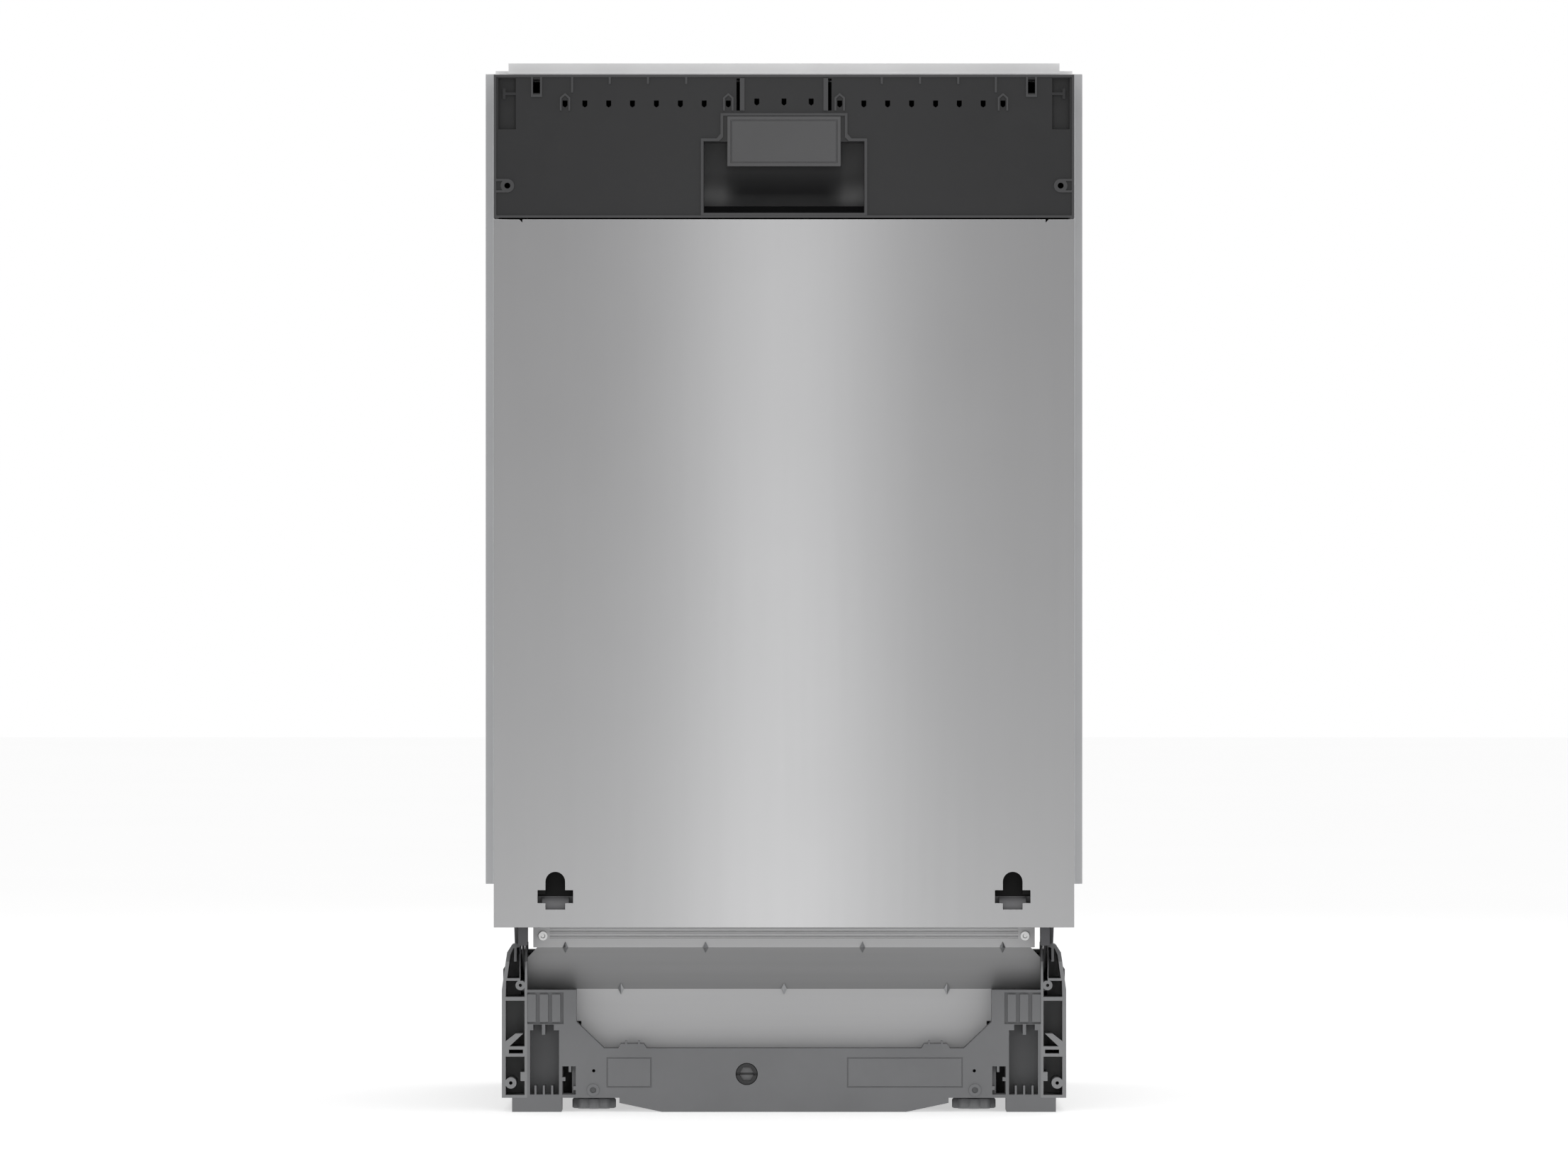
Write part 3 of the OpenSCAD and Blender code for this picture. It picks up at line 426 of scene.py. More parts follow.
MATERIALS = {
    "stainless": lambda: sheet_metal("stainless", (0.445, 0.445, 0.45), 0.21, UPRIGHT),
    "galvanised": lambda: sheet_metal("galvanised", (0.44, 0.445, 0.455), 0.40, LEVEL, 0.03 * MM),
    "zinc_sheet": lambda: painted_sheet("zinc_sheet", (0.55, 0.555, 0.565), 0.42),
    "black_plastic": lambda: moulded_plastic("black_plastic", (0.012, 0.012, 0.013), 0.33),
    "grey_plastic": lambda: moulded_plastic("grey_plastic", (0.165, 0.167, 0.172), 0.50),
    "dark_plastic": lambda: moulded_plastic("dark_plastic", (0.035, 0.035, 0.037), 0.52),
    "pale_plastic": lambda: moulded_plastic("pale_plastic", (0.62, 0.62, 0.60), 0.42),
    "seal_rubber": lambda: rubber("seal_rubber", (0.022, 0.022, 0.023)),
    "felt": lambda: felt("felt", (0.045, 0.045, 0.047)),
    "coated_wire": lambda: moulded_plastic("coated_wire", (0.36, 0.37, 0.39), 0.36, 0.01 * MM),
    "circuit_board": lambda: circuit("circuit_board", (0.02, 0.11, 0.045)),
    "dark_steel": lambda: sheet_metal("dark_steel", (0.10, 0.10, 0.105), 0.42, LEVEL),
}


def latch_steel():
    return sheet_metal("dark_steel_latch", (0.02, 0.02, 0.021), 0.5)


def pillar_plastic():
    return moulded_plastic("grey_plastic_pillar", (0.235, 0.237, 0.242), 0.48)


# Nodes whose material differs from the rest of their slot; some of these are lighter or darker copies that
# paint in light or shade, as marked
NODE_MATERIALS = {
    # The top strip gets a much paler copy of the zinc sheet, a painted reflection for the light its front
    # catches.
    "top_front_strip": lambda: painted_sheet("zinc_sheet_top", (0.95, 0.95, 0.955), 0.36, 0.6),
    # The plinth sheet's downward-slanted face gets painted shade in its colour.
    "plinth_sheet": lambda: plinth_metal("galvanised_plinth", (0.50, 0.50, 0.505), 0.50),
    "latch_cover": lambda: moulded_plastic("black_plastic_cover", (0.070, 0.070, 0.072), 0.40),
    # The control panel's raised rims get a painted highlight colour.
    "control_panel": lambda: panel_plastic(
        "black_plastic_panel", (0.011, 0.011, 0.012), (0.045, 0.045, 0.047), 0.33),
    "inner_door": lambda: coated_sheet(
        "stainless_inner", (0.50, 0.50, 0.505), 0.24, (0.012, 0.012, 0.012)),
    "rear_adjuster": lambda: adjuster_plastic(
        "black_plastic_adjuster", (0.020, 0.020, 0.021), (0.20, 0.20, 0.205)),
    "latch_claw": latch_steel,
    "latch_strike": latch_steel,
    "plinth_screws": lambda: sheet_metal("galvanised_screws", (0.66, 0.66, 0.66), 0.28),
    "pillar_left": pillar_plastic,
    "pillar_right": pillar_plastic,
    # The hook pockets are painted darker than the black plastic as painted shade.
    "hook_catches": lambda: hook_plastic(
        "dark_plastic_hooks", (0.006, 0.006, 0.006), (0.17, 0.17, 0.175)),
}


def make_materials():
    return {slot: build() for slot, build in MATERIALS.items()}


def paint(obj, material):
    obj.data.materials.clear()
    obj.data.materials.append(material)


# ---------------------------------------------------------------- CAD nodes

# Widths of the rounded edges in millimetres
SOFT_EDGE = {"tub": 0.6, "heat_exchanger": 0.6, "base_pan": 1.2, "base_front": 0.5, "latch_cover": 0.45,
             "control_panel": 0.35, "door_panel": 0.35, "cutlery_basket": 0.35,
             "side_panel_left": 0.3, "side_panel_right": 0.3}
DEFAULT_EDGE = 0.4

# Faces that meet at more than this many degrees are shaded apart
FOLD_ANGLE = {"plinth_sheet": 18}
DEFAULT_FOLD = 40
BEVEL_ANGLE = 35
FLAT_ANGLE = 0.6
WELD_GAP = 0.01 * MM


def soften(obj, width_mm, fold_angle):
    """Welds the CAD faces, merges coplanar ones and rounds the sharp edges."""
    weld = obj.modifiers.new("weld", "WELD")
    weld.merge_threshold = WELD_GAP
    planar = obj.modifiers.new("planar", "DECIMATE")
    planar.decimate_type = "DISSOLVE"
    planar.angle_limit = math.radians(FLAT_ANGLE)
    bevel = obj.modifiers.new("bevel", "BEVEL")
    bevel.width = width_mm * MM
    bevel.segments = 2
    bevel.limit_method = "ANGLE"
    bevel.angle_limit = math.radians(BEVEL_ANGLE)
    bevel.use_clamp_overlap = True
    split = obj.modifiers.new("split", "EDGE_SPLIT")
    split.split_angle = math.radians(fold_angle)
    weighted = obj.modifiers.new("weighted", "WEIGHTED_NORMAL")
    weighted.keep_sharp = True


def dress_cad_nodes(materials):
    slots = {s["node"]: s["material_slot"] for s in frame["record"]["subparts"]}
    for name, obj in frame["nodes"].items():
        paint(obj, NODE_MATERIALS[name]() if name in NODE_MATERIALS else materials[slots[name]])
        for face in obj.data.polygons:
            face.use_smooth = True
        soften(obj, SOFT_EDGE.get(name, DEFAULT_EDGE), FOLD_ANGLE.get(name, DEFAULT_FOLD))


# ---------------------------------------------------------------- wire, tube and mesh helpers

def fillet(points, radius, steps=5, closed=False):
    """The points with each corner replaced by an arc-like curve of about that radius."""
    points = [Vector(p) for p in points]
    count = len(points)
    out = []
    for i, corner in enumerate(points):
        if not closed and i in (0, count - 1):
            out.append(corner)
            continue
        before, after = points[i - 1], points[(i + 1) % count]
        a, b = before - corner, after - corner
        if a.angle(b, math.pi) > math.radians(175):
            out.append(corner)
            continue
        reach = min(radius, a.length * 0.49, b.length * 0.49)
        start, end = corner + a.normalized() * reach, corner + b.normalized() * reach
        for k in range(steps + 1):
            t = k / steps
            out.append(start * (1 - t) ** 2 + corner * 2 * t * (1 - t) + end * t ** 2)
    return out


def new_piece(name, mesh, body, stands_for=(), slot=None, material=None):
    obj = bpy.data.objects.new(name, mesh)
    bpy.context.scene.collection.objects.link(obj)
    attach(obj, body)
    if stands_for:
        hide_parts(*stands_for)
    paint(obj, material or palette[slot])
    for face in mesh.polygons:
        face.use_smooth = True
    return obj


def skin(bm, rings, around=False):
    """Joins rings of vertices by quads, then closes both ends or joins the last ring to the first."""
    count = len(rings[0])
    pairs = list(zip(rings, rings[1:]))
    if around:
        pairs.append((rings[-1], rings[0]))
    for near, far in pairs:
        for k in range(count):
            after = (k + 1) % count
            bm.faces.new((near[k], near[after], far[after], far[k]))
    if not around:
        bm.faces.new(list(reversed(rings[0])))
        bm.faces.new(rings[-1])


def turns(count):
    """Cosine and sine of equal steps round a circle."""
    for k in range(count):
        a = 2 * math.pi * k / count
        yield math.cos(a), math.sin(a)


def sweep(bm, points, radius, sides=8, closed=False):
    """Adds a round tube along the points; radius is a number or one for each point."""
    points = [Vector(p) for p in points]
    count = len(points)
    rings = []
    normal = None
    for i, point in enumerate(points):
        if closed:
            tangent = points[(i + 1) % count] - points[i - 1]
        else:
            tangent = points[min(i + 1, count - 1)] - points[max(i - 1, 0)]
        tangent.normalize()
        if normal is None:
            normal = tangent.orthogonal().normalized()
        normal = (normal - tangent * normal.dot(tangent)).normalized()
        side = tangent.cross(normal)
        r = radius[i] if isinstance(radius, (list, tuple)) else radius
        rings.append([bm.verts.new(point + (normal * c + side * d) * r) for c, d in turns(sides)])
    if not closed:
        skin(bm, rings)
        return
    # the last ring is joined to whichever turn of the first lies nearest
    for near, far in zip(rings, rings[1:] + rings[:1]):
        twist = 0
        if far is rings[0]:
            twist = min(range(sides), key=lambda s: (near[0].co - far[s].co).length)
        for k in range(sides):
            bm.faces.new((near[k], near[(k + 1) % sides],
                          far[(k + 1 + twist) % sides], far[(k + twist) % sides]))


def finish_mesh(bm, name):
    bmesh.ops.recalc_face_normals(bm, faces=bm.faces)
    mesh = bpy.data.meshes.new(name)
    bm.to_mesh(mesh)
    bm.free()
    return mesh


def add_block(bm, low, high):
    made = bmesh.ops.create_cube(bm, size=1)
    low, high = Vector(low), Vector(high)
    for vert in made["verts"]:
        vert.co = (low + high) / 2 + Vector(v * s for v, s in zip(vert.co, high - low))


def add_rod(bm, start, end, radius, sides=24):
    sweep(bm, [start, end], radius, sides)


def both_sides(a, b):
    """The stretch of X from a to b on the left, then on the right."""
    return sorted((-a, -b)), sorted((a, b))


def spread(a, b, count):
    return [a + (b - a) * i / (count - 1) for i in range(count)]


def smooth_by_angle(obj, degrees):
    """Sharp edges stay sharp where faces meet at more than the angle."""
    for edge in obj.data.edges:
        edge.use_edge_sharp = False
    bm = bmesh.new()
    bm.from_mesh(obj.data)
    for edge in bm.edges:
        if len(edge.link_faces) == 2 and edge.calc_face_angle(0) > math.radians(degrees):
            edge.smooth = False
    bm.to_mesh(obj.data)
    bm.free()


def round_edges(obj, width_mm):
    bevel = obj.modifiers.new("bevel", "BEVEL")
    bevel.width = width_mm * MM
    bevel.segments = 2
    bevel.limit_method = "ANGLE"
    bevel.angle_limit = math.radians(BEVEL_ANGLE)
    bevel.harden_normals = True


# ---------------------------------------------------------------- baskets

RIM_R = 2.5 * MM
RUN_R = 1.7 * MM
TINE_R = 1.6 * MM
RIM_CORNER = 26 * MM
BEND_R = 10 * MM           # where a wire turns from the side to the floor
BEND_RISE = 14 * MM        # height of that turn above the floor
SIDE_TAPER = 8 * MM        # how much narrower the floor is than the rim, on each side
END_MARGIN = 24 * MM       # from a corner to the first wire
WIRES_ACROSS = 15
WIRES_ALONG = 11

LOWER_HALF = 176 * MM
LOWER_FLOOR = 236 * MM
LOWER_BAND = 88 * MM       # height of the middle rim above the floor
UPPER_HALF = 174 * MM
UPPER_FLOOR = 505 * MM
UPPER_BAND = 56 * MM
TINE_BASE = 6 * MM         # tine rows lie this far above the basket's underside

# Wheel brackets on the lower basket, and the stubs that the wheels turn on
BRACKET_X = (171.5 * MM, 176.3 * MM)
STUB_X = (175 * MM, 192 * MM)
STUB_R = 3 * MM

# Steel runners of the upper basket, each held by two clamps
RUNNER_X = (180 * MM, 190.3 * MM)
RUNNER_Z = (555 * MM, 565 * MM)
CLAMP_X = (173 * MM, 180.4 * MM)
CLAMP_Z = (552 * MM, 567 * MM)
CLAMP_STARTS = (-150 * MM, 120 * MM)
CLAMP_LENGTH = 20 * MM


def rounded_loop(x, y0, y1, z, radius):
    return fillet([(-x, y0, z), (x, y0, z), (x, y1, z), (-x, y1, z)], radius, 6, closed=True)


def basket_wires(bm, half, y0, y1, z0, z1, mid_z):
    """Rims, a floor hoop and the U-shaped wires that run down, under and up again."""
    rim, low = half - RIM_R, half - SIDE_TAPER
    front, back = y0 + RIM_R, y1 - RIM_R
    sweep(bm, rounded_loop(rim, front, back, z1 - RIM_R, RIM_CORNER), RIM_R, 10, closed=True)
    sweep(bm, rounded_loop(rim, front, back, mid_z, RIM_CORNER), RUN_R, 8, closed=True)
    hoop = rounded_loop(low - 4 * MM, front + 12 * MM, back - 12 * MM, z0 + RIM_R + 2 * RUN_R, 22 * MM)
    sweep(bm, hoop, RUN_R, 8, closed=True)
    top, floor = z1 - 2 * RIM_R, z0 + RUN_R
    inner = rim - RIM_R - RUN_R
    turn = floor + BEND_RISE
    for y in spread(front + END_MARGIN, back - END_MARGIN, WIRES_ACROSS):
        right = [(low - 12 * MM, y, floor), (low, y, turn), (inner, y, mid_z), (inner, y, top)]
        left = [(-x, y, z) for x, y, z in reversed(right)]
        sweep(bm, fillet(left + right, BEND_R, 4), RUN_R)
    near, far = front + RIM_R + RUN_R, back - RIM_R - RUN_R
    lift = floor + 2 * RUN_R
    turn = lift + BEND_RISE
    for x in spread(-rim + END_MARGIN, rim - END_MARGIN, WIRES_ALONG):
        path = [(x, near, top), (x, near, mid_z), (x, near + 6 * MM, turn), (x, near + 18 * MM, lift),
                (x, far - 18 * MM, lift), (x, far - 6 * MM, turn), (x, far, mid_z), (x, far, top)]
        sweep(bm, fillet(path, BEND_R, 4), RUN_R)


def tine_row(bm, x0, x1, y, z, height, count, lean):
    """Hairpin tines in a row along X, joined by a base wire."""
    sweep(bm, [(x0 - 6 * MM, y, z), (x1 + 6 * MM, y, z)], RUN_R)
    for x in spread(x0, x1, count):
        path = [(x, y, z), (x, y + lean * 0.5, z + height * 0.5), (x, y + lean, z + height),
                (x, y + lean, z + height + TINE_R)]
        sweep(bm, path, [TINE_R, TINE_R, TINE_R, TINE_R * 0.45])


def tine_places(low, high, rows):
    """Y of the tine rows, on sixths of the basket's depth."""
    return [low.y + i * (high.y - low.y - 4 * MM) / 6 + 1.5 * MM for i in range(2, 2 + rows)]


def make_lower_basket():
    low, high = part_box("lower_basket")
    bm = bmesh.new()
    basket_wires(bm, LOWER_HALF, low.y, high.y, LOWER_FLOOR, high.z, LOWER_FLOOR + LOWER_BAND)
    for y in tine_places(low, high, 4):
        tine_row(bm, -150 * MM, 62 * MM, y, LOWER_FLOOR + TINE_BASE,
                 height=58 * MM, count=13, lean=3 * MM)
    wires = finish_mesh(bm, "lower_basket_wires")
    new_piece("lower_basket_wires", wires, "lower_basket", ["lower_basket"], "coated_wire")
    make_wheel_brackets()
    make_basket_grip("lower_basket_grip", "lower_basket", low.y, high.z, 56 * MM)


def make_wheel_brackets():
    """Plastic brackets on the lower basket's sides, each with the stub that a wheel turns on."""
    floor = LOWER_FLOOR
    front_low, front_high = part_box("front_wheels")
    rear_low, rear_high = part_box("rear_wheels")
    axle_z = (front_low.z + front_high.z) / 2
    bm = bmesh.new()
    for y in ((front_low.y + front_high.y) / 2, (rear_low.y + rear_high.y) / 2):
        for side, (x0, x1) in zip((-1, 1), both_sides(*BRACKET_X)):
            add_block(bm, (x0, y - 9 * MM, axle_z - 8 * MM), (x1, y + 9 * MM, floor + 4 * MM))
            add_block(bm, (x0, y - 24 * MM, floor - 3 * MM), (x1, y + 24 * MM, floor + 7 * MM))
            stub = [(side * x, y, axle_z) for x in STUB_X]
            add_rod(bm, *stub, STUB_R)
    mesh = finish_mesh(bm, "brackets")
    brackets = new_piece("lower_basket_brackets", mesh, "lower_basket", ["lower_basket"], "grey_plastic")
    round_edges(brackets, 0.9)


def make_basket_grip(name, body, y, z, half):
    """Plastic grip clipped over the middle of the front rim."""
    bm = bmesh.new()
    end, run = (y + 6 * MM, z - 14 * MM), (y + 4.5 * MM, z - 7 * MM)
    path = [(-half, *end), (-half + 16 * MM, *run), (half - 16 * MM, *run), (half, *end)]
    sweep(bm, fillet(path, 14 * MM, 6), 4.4 * MM, 14)
    grip = new_piece(name, finish_mesh(bm, name), body, (), "grey_plastic")
    grip.modifiers.new("round", "SUBSURF").levels = 1


def make_upper_basket():
    low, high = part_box("upper_basket")
    bm = bmesh.new()
    basket_wires(bm, UPPER_HALF, low.y, high.y, UPPER_FLOOR, high.z, UPPER_FLOOR + UPPER_BAND)
    for y in tine_places(low, high, 3):
        tine_row(bm, 20 * MM, 142 * MM, y, UPPER_FLOOR + TINE_BASE,
                 height=46 * MM, count=8, lean=6 * MM)
    wires = finish_mesh(bm, "upper_basket_wires")
    new_piece("upper_basket_wires", wires, "upper_basket", ["upper_basket"], "coated_wire")
    make_upper_feed(low, high)
    make_runners(low, high)
    make_basket_grip("upper_basket_grip", "upper_basket", low.y, high.z, 52 * MM)


def make_upper_feed(low, high):
    """Water pipe under the upper basket, with the flanged stub that holds the spray arm."""
    arm_low, arm_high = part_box("upper_spray_arm")
    y, floor = (arm_low.y + arm_high.y) / 2, UPPER_FLOOR
    flange_top = low.z + 3 * MM
    bm = bmesh.new()
    add_rod(bm, (0, y, flange_top), (0, y, floor + 1 * MM), 7 * MM, 32)
    add_rod(bm, (0, y, low.z), (0, y, flange_top), 11 * MM, 32)
    add_block(bm, (-20 * MM, y - 14 * MM, floor - 2 * MM), (20 * MM, y + 14 * MM, floor + 1 * MM))
    add_rod(bm, (0, y + 14 * MM, floor - 3 * MM), (0, high.y, floor - 3 * MM), 3.5 * MM)
    mesh = finish_mesh(bm, "feed")
    feed = new_piece("upper_basket_feed", mesh, "upper_basket", ["upper_basket"], "grey_plastic")
    round_edges(feed, 0.7)


def make_runners(low, high):
    """Steel bars that slide in the rails, each held to the basket by two clamps."""
    bm = bmesh.new()
    (z0, z1), (c, d) = RUNNER_Z, CLAMP_Z
    for (x0, x1), (a, b) in zip(both_sides(*RUNNER_X), both_sides(*CLAMP_X)):
        add_block(bm, (x0, low.y + 6 * MM, z0), (x1, high.y - 2 * MM, z1))
        for y0 in CLAMP_STARTS:
            add_block(bm, (a, y0, c), (b, y0 + CLAMP_LENGTH, d))
    mesh = finish_mesh(bm, "runners")
    runners = new_piece("upper_basket_runners", mesh, "upper_basket", ["upper_basket"], "stainless")
    round_edges(runners, 0.8)


def make_cup_shelf():
    low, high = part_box("cup_shelf")
    hinge_x, z = low.x + 3 * MM, (low.z + high.z) / 2
    y0, y1, x1 = low.y + 6 * MM, high.y - 6 * MM, high.x - 2 * MM
    bm = bmesh.new()
    sweep(bm, [(hinge_x, low.y, z), (hinge_x, high.y, z)], 2.6 * MM, 12)
    edge = [(hinge_x, y0, z), (x1, y0, z), (x1, y1, z), (hinge_x, y1, z)]
    sweep(bm, fillet(edge, 14 * MM, 5), 2.0 * MM, 8)
    for y in spread(y0 + 22 * MM, y1 - 22 * MM, 9):
        sweep(bm, [(hinge_x, y, z), (x1, y, z)], 1.5 * MM)
    new_piece("cup_shelf_wires", finish_mesh(bm, "cup_shelf"), "cup_shelf", ["cup_shelf"], "coated_wire")


# ---------------------------------------------------------------- round and sprung parts

FOOT_LOBES = 8
FOOT_NOTCH = 3.2 * MM
THREAD_PITCH = 2.4 * MM
STEM_R = {"rear_foot": 8 * MM, "front_foot_left": 6 * MM, "front_foot_right": 6 * MM}

SPRING_X = 209 * MM
SPRING_Z = 50 * MM
SPRING_Y = (-132 * MM, 14 * MM)
SPRING_TURNS = 48
COIL_R = 4.8 * MM
SPRING_WIRE_R = 1.15 * MM
POST_X = (205 * MM, 216.5 * MM)
POST_Y = (30 * MM, 33 * MM)
POST_Z = (30 * MM, 55 * MM)

# From the hinge lever back over the guide pin and down to the spring, millimetres
ROPE_PATH = [(204.2, -197, 112), (204.2, -180, 107), (204.2, -168, 103.6), (206.5, -165, 101.5),
             (208.8, -163.5, 98), (209, -157, 85), (209, -149, 68), (209, -141, 53)]

# Half section of a basket wheel as (radius, x) in millimetres, from the bore's inner end
WHEEL_SECTION = [(3.06, 178.9), (6.2, 178.9), (6.2, 181.2), (12.8, 181.6), (13.4, 179.6), (16.4, 179.0),
                 (17.6, 180.2), (17.6, 189.6), (16.6, 190.9), (14.2, 190.9), (13.0, 188.6), (12.6, 184.4),
                 (6.6, 184.0), (6.2, 191.3), (3.06, 191.3)]
WHEEL_R = 17.6 * MM
SPOKES = 5

BLADE_H = 8 * MM
BLADE_ROWS = 44
BLADE_SIDES = 20
BLADE_SWEEP = 4 * MM       # how far the blade's tips trail its middle
NOZZLES = 5                # on each half of an arm


def star_outline(radius, lobes, depth, count=120):
    for k in range(count):
        a = 2 * math.pi * k / count
        r = radius - depth * (0.5 - 0.5 * math.cos(lobes * a)) ** 1.5
        yield r * math.cos(a), r * math.sin(a)


def add_prism(bm, outline, x, y, levels):
    """Stacks an outline at (height, scale) levels and closes both ends."""
    skin(bm, [[bm.verts.new((x + u * s, y + v * s, z)) for u, v in outline] for z, s in levels])


def add_thread(bm, x, y, z0, z1, radius, pitch):
    """Threaded rod: one surface of revolution whose radius follows the turn."""
    sides, rows = 28, max(8, int((z1 - z0) / (pitch / 6)))
    rings = []
    for z in spread(z0, z1, rows + 1):
        ring = []
        for k, (c, d) in enumerate(turns(sides)):
            phase = (z - z0) / pitch + k / sides
            r = radius - 0.13 * pitch * (1 + math.cos(2 * math.pi * phase))
            ring.append(bm.verts.new((x + r * c, y + r * d, z)))
        rings.append(ring)
    skin(bm, rings)


def make_foot(node):
    low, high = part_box(node)
    x, y = (low.x + high.x) / 2, (low.y + high.y) / 2
    z0 = low.z
    outline = list(star_outline((high.x - low.x) / 2, FOOT_LOBES, FOOT_NOTCH))
    bm = bmesh.new()
    add_prism(bm, outline, x, y, [(z0, 0.93), (z0 + 0.8 * MM, 1.0), (z0 + 6.6 * MM, 1.0), (z0 + 8 * MM, 0.94)])
    add_thread(bm, x, y, z0 + 7.8 * MM, high.z, STEM_R[node], THREAD_PITCH)
    foot = new_piece(node + "_star", finish_mesh(bm, node), node, [node], "grey_plastic")
    smooth_by_angle(foot, 50)


def make_springs():
    """Tension springs: close helix with a hook at each end, fixed to a post behind."""
    (y0, y1), z = SPRING_Y, SPRING_Z
    steps = 12
    bm = bmesh.new()
    for side, (a, b) in zip((-1, 1), both_sides(*POST_X)):
        x = side * SPRING_X
        hook = [(x, y0 - 8 * MM, z + 3 * MM), (x, y0 - 6 * MM, z)]
        coil = [(x + COIL_R * math.sin(2 * math.pi * t), y0 + (y1 - y0) * t / SPRING_TURNS,
                 z + COIL_R * math.cos(2 * math.pi * t))
                for t in (k / steps for k in range(SPRING_TURNS * steps + 1))]
        tail = [(x, y1 + 6 * MM, z), (x, POST_Y[0], z)]
        sweep(bm, hook + coil + tail, SPRING_WIRE_R, 6)
        add_block(bm, (a, POST_Y[0], POST_Z[0]), (b, POST_Y[1], POST_Z[1]))
    new_piece("door_spring_coils", finish_mesh(bm, "springs"), "root", ["door_springs"], "galvanised")


def make_ropes():
    bm = bmesh.new()
    for side in (-1, 1):
        path = [(side * x * MM, y * MM, z * MM) for x, y, z in ROPE_PATH]
        sweep(bm, fillet(path, 5 * MM, 4), 0.9 * MM, 8)
    new_piece("door_rope_strands", finish_mesh(bm, "ropes"), "root", ["door_ropes"], "dark_plastic")


def make_wheels(node):
    """Spoked basket wheels with a rounded tread."""
    low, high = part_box(node)
    y, z = (low.y + high.y) / 2, (low.z + high.z) / 2
    scale = (high.z - low.z) / 2 / WHEEL_R * MM
    bm = bmesh.new()
    for side in (-1, 1):
        skin(bm, [[bm.verts.new((side * x * MM, y + r * scale * c, z + r * scale * d))
                   for r, x in WHEEL_SECTION] for c, d in turns(48)], around=True)
        for c, d in turns(SPOKES):
            inner, outer = [(side * x * MM, y + r * MM * c, z + r * MM * d)
                            for x, r in ((185.8, 6), (186.2, 13.4))]
            add_rod(bm, inner, outer, 1.7 * MM, 8)
    wheels = new_piece(node + "_spoked", finish_mesh(bm, node), node, [node], "grey_plastic")
    smooth_by_angle(wheels, 40)


def rounded(value):
    """Cosine or sine bent towards a box, for a section with soft corners."""
    return math.copysign(abs(value) ** 0.7, value)


def add_blade(bm, y, z, reach):
    """Blade of a spray arm: soft crowned section, widest at the hub, swept back at the tips."""
    rings = []
    for t in spread(-1, 1, BLADE_ROWS + 1):
        taper = math.sqrt(max(0.0, 1 - abs(t) ** 9))
        half = (10.5 + 8.5 * (1 - abs(t)) ** 1.4) * MM * taper + 0.4 * MM
        thick = BLADE_H / 2 * (0.72 + 0.28 * (1 - abs(t))) * (0.35 + 0.65 * taper)
        middle = y - BLADE_SWEEP * math.sin(t * math.pi * 0.5)
        rings.append([bm.verts.new((reach * t, middle + rounded(c) * half, z + rounded(d) * thick))
                      for c, d in turns(BLADE_SIDES)])
    skin(bm, rings)


def add_nozzles(bm, y, z, reach):
    """Raised oval nozzles, in turn on either side of the blade's middle line."""
    outline = [(3.4 * MM * c, 2.4 * MM * d) for c, d in turns(20)]
    levels = [(z - 1.5 * MM, 1.0), (z + 1.1 * MM, 0.9), (z + 1.2 * MM, 0.5), (z - 0.4 * MM, 0.4)]
    for i in range(1, NOZZLES + 1):
        for side in (-1, 1):
            x = side * (20 * MM + i * (reach - 34 * MM) / NOZZLES)
            middle = y - BLADE_SWEEP * math.sin(x / reach * math.pi * 0.5)
            add_prism(bm, outline, x, middle + (i % 2 * 6 - 3) * MM, levels)


def make_spray_arm(node, stub_r, hub_r):
    """Crowned blade with raised nozzles and a domed hub that turns on a stub."""
    low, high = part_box(node)
    y, z0, z1 = (low.y + high.y) / 2, low.z, high.z
    reach = (high.x - low.x) / 2
    blade_z = z0 + 3 * MM + BLADE_H / 2
    bm = bmesh.new()
    add_blade(bm, y, blade_z, reach)
    add_nozzles(bm, y, blade_z + BLADE_H / 2 * 0.8, reach)
    hub = [(stub_r, z0), (hub_r - 1 * MM, z0), (hub_r, z0 + 1 * MM), (hub_r, z1 - 4 * MM),
           (hub_r - 2.2 * MM, z1 - 1 * MM), (hub_r * 0.55, z1), (stub_r, z1)]
    skin(bm, [[bm.verts.new((r * c, y + r * d, z)) for r, z in hub] for c, d in turns(40)], around=True)
    arm = new_piece(node + "_blade", finish_mesh(bm, node), node, [node], "grey_plastic")
    smooth_by_angle(arm, 45)


# ---------------------------------------------------------------- plinth sheet's darts

DART_HALF_W = 2.2 * MM
DART_HALF_H = 4.5 * MM
DART_LEAN = 2.6 * MM       # how far the end that lies on the slanted face goes with it
DART_PEAK = 1.5 * MM
UPPER_FOLD_Z = 128 * MM
LOWER_FOLD_Z = 95 * MM
UPPER_DARTS = [x * MM for x in (-170, -61, 61, 170)]
LOWER_DARTS = [x * MM for x in (-127, 0, 127)]


def add_dart(bm, x, y, z, tips):
    """Shallow pyramid on four corners, closed behind; tips shifts the lower and the upper end in Y."""
    lower, upper = tips
    corners = [Vector(c) for c in ((x - DART_HALF_W, y, z), (x, y + lower, z - DART_HALF_H),
                                   (x + DART_HALF_W, y, z), (x, y + upper, z + DART_HALF_H))]
    ring = [bm.verts.new(c) for c in corners]
    back = [bm.verts.new(c + Vector((0, 1 * MM, 0))) for c in corners]
    peak = bm.verts.new((x, y - DART_PEAK, z))
    for k in range(4):
        after = (k + 1) % 4
        bm.faces.new((ring[k], ring[after], peak))
        bm.faces.new((ring[after], ring[k], back[k], back[after]))
    bm.faces.new(back)


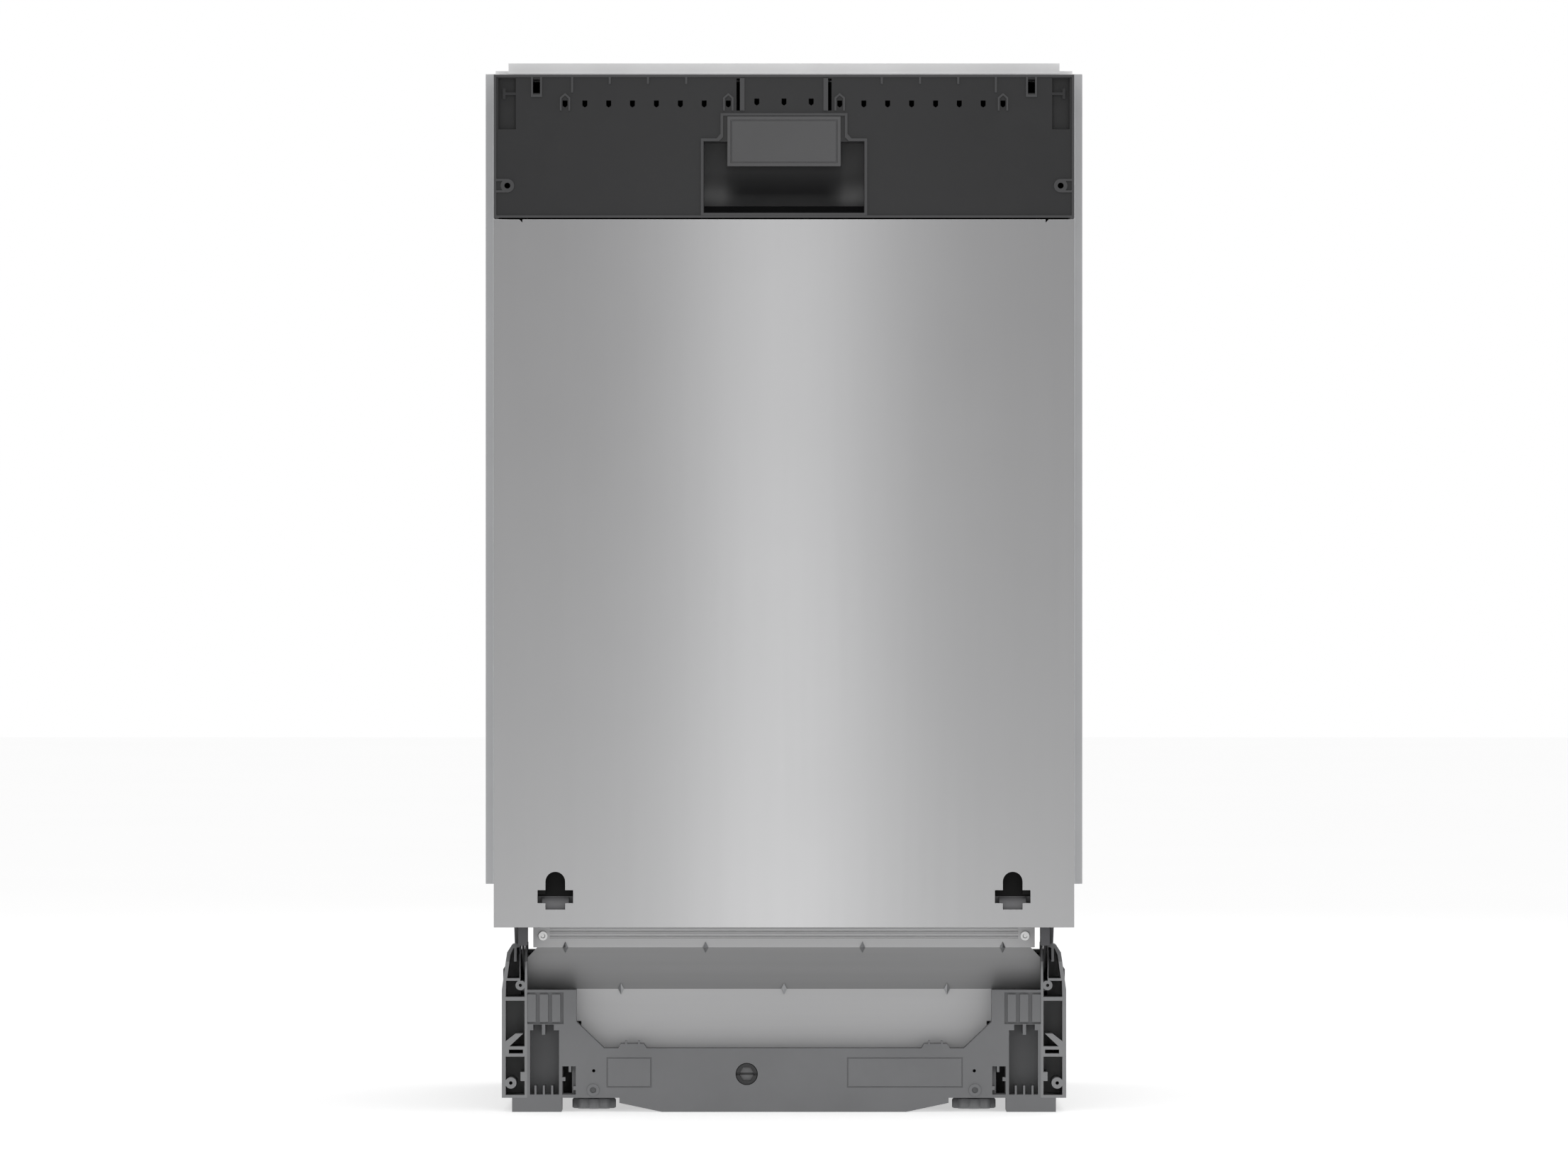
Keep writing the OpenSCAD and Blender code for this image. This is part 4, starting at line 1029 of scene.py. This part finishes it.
def make_plinth_darts():
    """Small pressed diamonds that stiffen the two folds of the plinth sheet."""
    front_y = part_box("plinth_sheet")[0].y
    bm = bmesh.new()
    for x in UPPER_DARTS:
        add_dart(bm, x, front_y + 0.1 * MM, UPPER_FOLD_Z, (DART_LEAN, 0))
    for x in LOWER_DARTS:
        add_dart(bm, x, front_y + 18.8 * MM, LOWER_FOLD_Z, (0, -DART_LEAN))
    darts = new_piece("plinth_darts", finish_mesh(bm, "plinth_darts"), "root", (), "galvanised")
    smooth_by_angle(darts, 10)


# ---------------------------------------------------------------- seals

# Lip section as (outward, forward) in millimetres
GASKET_SECTION = [(-4.2, -2.6), (4.2, -2.6), (4.2, -1.0), (2.8, -0.2), (3.6, 1.4), (2.0, 2.6),
                  (-0.4, 2.7), (-2.4, 1.8), (-3.2, 0.4), (-2.2, -0.8), (-4.2, -1.2)]
GASKET_EDGE = 4.4 * MM
TOP_SQUEEZE = 0.36         # the run across the top has less room than the sides

# Ribbed strip as (backward, upward) in millimetres
DOOR_SEAL_SECTION = [(0, 0), (0, 10), (0.9, 9.6), (1.1, 6.4), (1.9, 5.6), (1.9, 4.4), (1.0, 3.6),
                     (1.9, 1.6), (1.6, 0.4)]


def make_gasket():
    """Lip seal in one run up the left, across the top and down the right."""
    low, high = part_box("tub_gasket")
    mid_y = (low.y + high.y) / 2
    left, right = low.x + GASKET_EDGE, high.x - GASKET_EDGE
    bottom, top = low.z + 1 * MM, high.z - 1.6 * MM
    corners = [(left, mid_y, bottom), (left, mid_y, top), (right, mid_y, top), (right, mid_y, bottom)]
    path = fillet(corners, 12 * MM, 8)
    forward = Vector((0, -1, 0))
    bm = bmesh.new()
    rings = []
    for i, point in enumerate(path):
        tangent = (path[min(i + 1, len(path) - 1)] - path[max(i - 1, 0)]).normalized()
        outward = forward.cross(tangent).normalized()
        squeeze = TOP_SQUEEZE if abs(tangent.x) > 0.9 else 1.0
        rings.append([bm.verts.new(point + outward * u * MM * squeeze + forward * v * MM)
                      for u, v in GASKET_SECTION])
    skin(bm, rings)
    new_piece("tub_gasket_lip", finish_mesh(bm, "gasket"), "root", ["tub_gasket"], "seal_rubber")


def make_door_seal():
    low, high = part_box("door_seal")
    bm = bmesh.new()
    skin(bm, [[bm.verts.new((x, low.y + v * MM, low.z + w * MM)) for v, w in DOOR_SEAL_SECTION]
              for x in spread(low.x, high.x, 24)])
    new_piece("door_seal_strip", finish_mesh(bm, "door_seal"), "door", ["door_seal"], "seal_rubber")


# ---------------------------------------------------------------- floor

def make_floor():
    """Pale floor, lit a little from itself so that it stays white under the part."""
    bpy.ops.mesh.primitive_plane_add(size=40, location=(0, 0, 0))
    floor = bpy.context.object
    floor.name = "floor"
    s = Shader("floor_paint")
    s.colour(s.noise(1.5), (0.92, 0.92, 0.92), (0.94, 0.94, 0.94))
    s.roughness(s.noise(3), 0.7, 0.8)
    s.bsdf.inputs["Emission Color"].default_value = (1, 1, 1, 1)
    s.bsdf.inputs["Emission Strength"].default_value = 0.5
    paint(floor, s.material)


# ---------------------------------------------------------------- the scene

make_camera()
make_lights()
make_sky()
palette = make_materials()
dress_cad_nodes(palette)
make_floor()
make_lower_basket()
make_upper_basket()
make_cup_shelf()
for foot_node in ("front_foot_left", "front_foot_right", "rear_foot"):
    make_foot(foot_node)
make_springs()
make_ropes()
make_plinth_darts()
for wheel_node in ("front_wheels", "rear_wheels"):
    make_wheels(wheel_node)
make_spray_arm("lower_spray_arm", 8.1 * MM, 22 * MM)
make_spray_arm("upper_spray_arm", 7.1 * MM, 19 * MM)
make_gasket()
make_door_seal()
